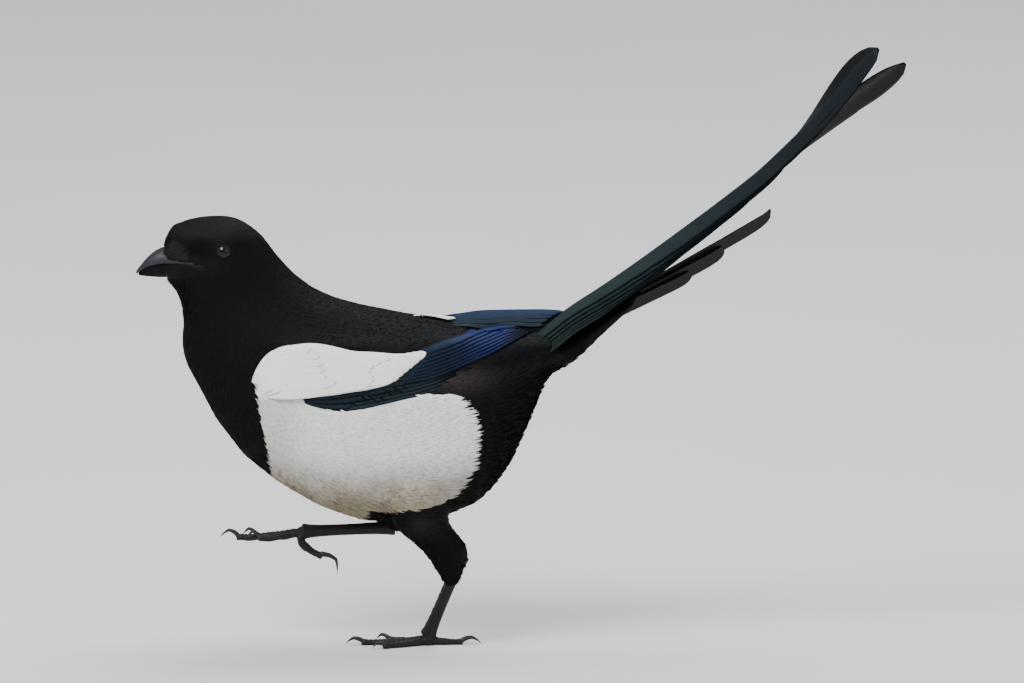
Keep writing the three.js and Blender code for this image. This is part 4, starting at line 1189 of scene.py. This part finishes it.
def build_wings(form):
    for name, side in SIDES.items():
        wing = Vanes()
        teal_feathers(wing, form, side)
        blue_feathers(wing, form, side)
        roof_feathers(wing, form, side)
        piece = wing.build(f"wing_feathers_{name}", "wing_feathers")
        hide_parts(f"wing_{name}")
    build_scapulars(form)
    build_far_sliver(form)


# Bill, legs and eyes
# Stations of the bill from the tip to the gape: x, ridge z, edge z and half width at the edge
UPPER_BILL = [
    (-193.5, 188.9, 188.3, 0.3), (-193.0, 190.4, 188.8, 0.9), (-191.6, 192.3, 189.8, 1.8),
    (-188.4, 196.2, 192.1, 3.2), (-184.9, 199.4, 193.5, 4.5), (-181.0, 201.7, 194.3, 5.5),
    (-176, 203.0, 194.9, 6.5), (-170, 202.6, 195.3, 8.0), (-164, 200.2, 195.1, 10.0),
    (-157, 196.5, 194.2, 11.0),
]
LOWER_BILL = [
    (-192.2, 188.0, 188.9, 0.4), (-191.2, 187.6, 190.0, 1.3), (-188.6, 187.3, 192.1, 2.6),
    (-184.9, 187.0, 193.5, 4.0), (-181.0, 186.8, 194.3, 5.0), (-176, 187.0, 194.9, 6.0),
    (-170, 187.6, 195.3, 7.6), (-165, 188.8, 195.1, 9.4), (-160.5, 191.4, 194.5, 10.6),
    (-157, 193.0, 194.0, 11.0),
]
BILL_RINGS = 48
BILL_STEPS = 10
# From here back the horn lies on the face
FACE_X = -184
# The fan of nasal bristles in the side view: where they root, and where they end
BRISTLE_ROOTS = [(-173.6, 201.6), (-170.5, 200.6), (-168.2, 198.4), (-166.6, 195.4), (-165.6, 192.6)]
BRISTLE_TIPS = [(-177.6, 199.4), (-180.4, 196.6), (-180.0, 194.2), (-175.5, 192.6), (-170.5, 192.0)]
BRISTLE_COUNT = 330
# Legs and claws: the voxel, smoothing and closing of their form, their swelling over the CAD's,
# plates round the front, the spacing of toe scales and pads, and the claws' stretch and curve
LEG_FORM = (0.36, 10, 0.45)
CLAW_FORM = (0.18, 2, 0.0)
LEG_SWELL = 0.45
HEEL_SINK = 1.6
SCUTE_PITCH = 4.2
SCUTE_HEIGHT = 0.3
TOE_SCALE = 2.2
TOE_PAD = 9.0
CLAW_SWELL = 0.4
CLAW_LONGER = 1.14
CLAW_BOW = 1.5


def bill_ring(form, x, ridge, edge, half, lower, raised):
    """One section of half a bill, from the middle of the mouth over one side and back by the other."""
    turn = np.linspace(0, math.pi / 2, BILL_STEPS)
    if lower:
        y = (half - 0.3) * np.cos(turn) ** 0.75
        z = edge + 0.15 + (ridge - edge - 0.15) * np.sin(turn) ** 1.15
    else:
        y = half * np.cos(turn) ** 1.12
        z = edge + (ridge - edge) * np.sin(turn)
    sides = []
    for side in (-1, 1):
        face = np.array([form.half_width(x, level, side) for level in z])
        face = np.where(face > 0, face + raised, 0) - 0.35 * lower
        wide = (y + face + np.sqrt((y - face) ** 2 + 1.2)) / 2 - 0.1
        share = smooth_step(FACE_X, FACE_X + 7, x) * (face > 0) * smooth_step(198.5, 195.5, z)
        across = np.concatenate([[0.35 * half, 0.75 * half], mix(y, wide, share)])
        up = np.concatenate([[edge + 0.3, edge + 0.2], z])
        sides.append(np.stack([np.full(len(up), x), side * across, up], axis=1))
    return np.vstack([sides[0], sides[1][-2::-1]])


def build_bill(form):
    """Both halves of the bill. Gives the upper one's points and triangles."""
    lift = smooth_path([(0.15, 0), (0.3, 0), (0.2, 0), (-0.8, 0)], BILL_RINGS)[:, 0]
    halves = {}
    for name, rows in (("upper", UPPER_BILL), ("lower", LOWER_BILL)):
        stations = zip(smooth_path(rows, BILL_RINGS), lift)
        rings = [bill_ring(form, *station, name == "lower", raised) for station, raised in stations]
        halves[name] = loft(rings)
        piece = mesh_object(f"bill_{name}_horn", *halves[name], HORN[f"{name}_bill_horn"], "bill_horn")
        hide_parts(f"bill_{name}")
    return halves["upper"]


def build_bristles(form, upper):
    """Nasal bristles: fine locks that lie forwards over the nostrils and the bill's root."""
    points, triangles = upper
    horn = BVHTree.FromPolygons(points.tolist(), triangles.tolist())

    def cover(x, height, side):
        ray = camera_ray(x, height, side)
        found = [place for place in (form.tree.ray_cast(*ray)[0], horn.ray_cast(*ray)[0]) if place]
        return np.array(max(found, key=lambda place: side * place[1])) if found else None

    centres = []
    for side in SIDES.values():
        for t in random.random(BRISTLE_COUNT):
            start = smooth_path(BRISTLE_ROOTS, 101)[int(100 * t)] + random.normal(0, 0.6, 2)
            end = smooth_path(BRISTLE_TIPS, 101)[int(100 * t)] + random.normal(0, 0.5, 2)
            reach = random.uniform(0.6, 1.0)
            line = [cover(*mix(start, end, share * reach), side) for share in TUFT_ROWS]
            if all(place is not None for place in line):
                line = np.array(line)
                line[:, 1] += side * np.array([-0.3, 0.75, 0.8, 0.3]) * random.uniform(0.5, 1.15)
                centres.append(line)
    centres = np.array(centres).transpose(1, 0, 2)
    ways = unit(np.gradient(centres, axis=0))
    side = np.sign(centres[..., 1:2])
    outs = np.concatenate([0 * side - 0.3, side, 0 * side + 0.25], axis=-1)
    outs = unit(outs - (outs * ways).sum(axis=-1, keepdims=True) * ways)
    count = centres.shape[1]
    long = np.linalg.norm(centres[3] - centres[0], axis=1)
    half = random.uniform(0.14, 0.24, count)
    numbers = markings_and_painted_light(centres[0])
    # The bristles are painted paler than the face around them, as painted sheen
    numbers["gloss"] = random.uniform(0.7, 1.5, count)
    numbers["sooty"] = random.uniform(0.0, 0.25, count)
    numbers["tone"] = random.random(count)
    tuft_piece("nasal_bristles", (centres, outs, ways), centres[0], long, half, numbers)


def refined_piece(name, nodes, shape, slot, reshape, *ends):
    """A finer copy of CAD nodes, reshaped a little between its ends, that stands for them."""
    voxel, smooth, closing = shape
    form = Form(refined(nodes, voxel, smooth, None, closing))
    points = reshape(form.points, form.normals, *ends)
    points[:, 2] = np.maximum(points[:, 2], 0)
    piece = mesh_object(name, points, form.quads, HORN[slot], slot)
    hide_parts(*nodes)


def distance(points, place):
    return np.linalg.norm(points - place, axis=1)


def plated(points, normals, heel, ankle):
    """A leg with overlapping plates round the front of its tarsus, and toes with scales and pads."""
    on_toes = smooth_step(0, 4, distance(points, heel) - np.linalg.norm(heel - ankle))
    away = 2 * math.pi * distance(points, ankle)
    joint = 0.12 * np.cos(away / TOE_SCALE) * np.clip(normals[:, 2], 0, 1)
    pad = 0.3 * np.cos(away / TOE_PAD) * np.clip(-normals[:, 2], 0, 1)
    step = ((points - heel) @ unit(ankle - heel) / SCUTE_PITCH) % 1
    plate = smooth_step(0, 0.15, step) * (1 - step) ** 0.6
    front = np.clip(-normals[:, 0] * 1.4, 0, 1)
    points = points + normals * (SCUTE_HEIGHT * plate * front)[:, None]
    at_heel = smooth_step(5, 0, distance(points, heel))
    return points + normals * (LEG_SWELL - HEEL_SINK * at_heel + (0.15 + joint + pad) * on_toes)[:, None]


def hooked(points, normals, ankle):
    """A claw with a stronger hook, from its root near the ankle to its tip."""
    away = distance(points, ankle)
    tip, root = points[away.argmax()], points[away.argmin()]
    chord = tip - root
    share = np.clip((points - root) @ chord / (chord @ chord), 0, 1)[:, None]
    rise = unit(np.array([0, 0, 1.0]) - chord * chord[2] / (chord @ chord))
    points = tip + (points - tip) * CLAW_LONGER + normals * CLAW_SWELL * (1 - share) ** 0.7
    return points + rise * (CLAW_BOW * 4 * share * (1 - share))


def build_legs():
    for name in SIDES:
        low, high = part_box(f"tarsus_{name}")
        across = (low.y + high.y) / 2
        heel = np.array([high.x, across, high.z]) / MM
        ankle = np.array([low.x, across, low.z]) / MM
        nodes = (f"tarsus_{name}", f"foot_{name}")
        refined_piece(f"leg_{name}_scales", nodes, LEG_FORM, "leg_scales", plated, heel, ankle)
        for k in range(1, 5):
            claw = f"claw_{name}_{k}"
            refined_piece(f"{claw}_horn", (claw,), CLAW_FORM, "claw_horn", hooked, ankle)


def eye_frame(form, side):
    """Centre, radius and outward direction of an eyeball."""
    low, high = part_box(f"eye_{side}")
    centre = np.array((low + high) / 2) / MM
    radius = (high[2] - low[2]) / MM / 2
    out = form.settle(centre[None] + [[0, SIDES[side] * 6, 0]])[1][0]
    return centre, radius, out


def build_eye(form, side):
    centre, radius, out = eye_frame(form, side)
    turn = np.array(Vector((0, 0, 1)).rotation_difference(Vector(out)).to_matrix()).T
    shape = bmesh.new()
    bmesh.ops.create_uvsphere(shape, u_segments=48, v_segments=32, radius=radius)
    points = np.array([v.co for v in shape.verts])
    reach = np.linalg.norm(points[:, :2], axis=1) / EYE_SHOWS
    points[:, 2] += CORNEA_BULGE * np.exp(-(reach / 0.7) ** 2) * (points[:, 2] > 0)
    reach[points[:, 2] < 0] = 1
    faces = [tuple(v.index for v in f.verts) for f in shape.faces]
    triangles = [t for f in faces for t in ([f] if len(f) == 3 else [(f[0], f[1], f[2]), (f[0], f[2], f[3])])]
    shape.free()
    eye = mesh_object(f"eye_{side}_ball", points @ turn + centre, triangles, EYE, "eye", {"reach": reach})
    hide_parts(f"eye_{side}")
    build_lid(centre, radius, side, turn)


def build_lid(centre, radius, side, turn):
    """The rim of the lids: two low folds round the eye, the upper one heavier."""
    around, across = 56, 10
    rows = []
    for i in range(around):
        angle = 2 * math.pi * i / around
        thick = 0.55 + 0.25 * max(0, math.sin(angle)) + 0.04 * math.sin(angle * 19)
        for j in range(across):
            roll = 2 * math.pi * j / across
            reach = EYE_SHOWS + 0.15 + thick * math.cos(roll)
            rise = math.sqrt(max(0, radius ** 2 - EYE_SHOWS ** 2)) - 0.05 + 0.75 * thick * math.sin(roll)
            rows.append((reach * math.cos(angle) * 1.04, reach * math.sin(angle), rise))
    index = np.arange(around * across).reshape(around, across)
    ahead = np.roll(index, -1, axis=0)
    quads = np.stack([index, ahead, np.roll(ahead, -1, axis=1), np.roll(index, -1, axis=1)], axis=-1)
    points = np.array(rows) @ turn + centre
    mesh_object(f"lids_{side}", points, quads.reshape(-1, 4), HORN["lid_skin"], "black_feathers")


def build_studio():
    """Pale floor, soft light and the photo's camera."""
    size = 40
    mesh = bpy.data.meshes.new("floor")
    corners = [(-size, -size, 0), (size, -size, 0), (size, size, 0), (-size, size, 0)]
    mesh.from_pydata(corners, [], [(0, 1, 2, 3)])
    mesh.materials.append(floor_material())
    floor = placed("floor", mesh)

    world = bpy.data.worlds.new("studio")
    world.use_nodes = True
    light = world.node_tree.nodes["Background"].inputs
    light["Color"].default_value = (0.93, 0.96, 1.0, 1)
    light["Strength"].default_value = 0.62
    bpy.context.scene.world = world

    lamps = {
        "key": ((-1.3, -1.5, 2.3), 1.5, 88, (1.0, 0.98, 0.95)),
        "fill": ((1.6, -2.0, 1.2), 1.8, 14, (0.92, 0.96, 1.0)),
        "top": ((0.5, 0.9, 2.4), 1.6, 46, (0.97, 0.98, 1.0)),
    }
    for name, (place, wide, power, colour) in lamps.items():
        light = bpy.data.lights.new(name, "AREA")
        light.shape = "DISK"
        light.size = wide
        light.energy = power
        light.color = colour
        lamp = placed(name, light)
        lamp.location = place
        lamp.rotation_euler = (Vector((0, 0, 0.12)) - Vector(place)).to_track_quat("-Z", "Y").to_euler()

    data = bpy.data.cameras.new("camera")
    data.sensor_width = SENSOR
    data.lens = SENSOR * CAMERA_AWAY / PICTURE_WIDE
    camera = placed("camera", data)
    back = Vector((0, -math.cos(CAMERA_TILT), math.sin(CAMERA_TILT)))
    camera.location = Vector(CAMERA_TARGET) * MM + back * CAMERA_AWAY * MM
    camera.rotation_euler = (-back).to_track_quat("-Z", "Y").to_euler()
    bpy.context.scene.camera = camera


def main():
    nodes = FLESH_NODES + WING_NODES + EYE_NODES
    form = Form(refined(nodes, FLESH_VOXEL, FLESH_SMOOTH, tail_core(), FLESH_CLOSING), posed)
    eyes = [eye_frame(form, side)[0] for side in SIDES]

    build_studio()
    build_skin(form, eyes)
    build_coat(form, eyes)
    build_wings(form)
    build_tail()
    build_bristles(form, build_bill(form))
    build_legs()
    for side in SIDES:
        build_eye(form, side)


main()
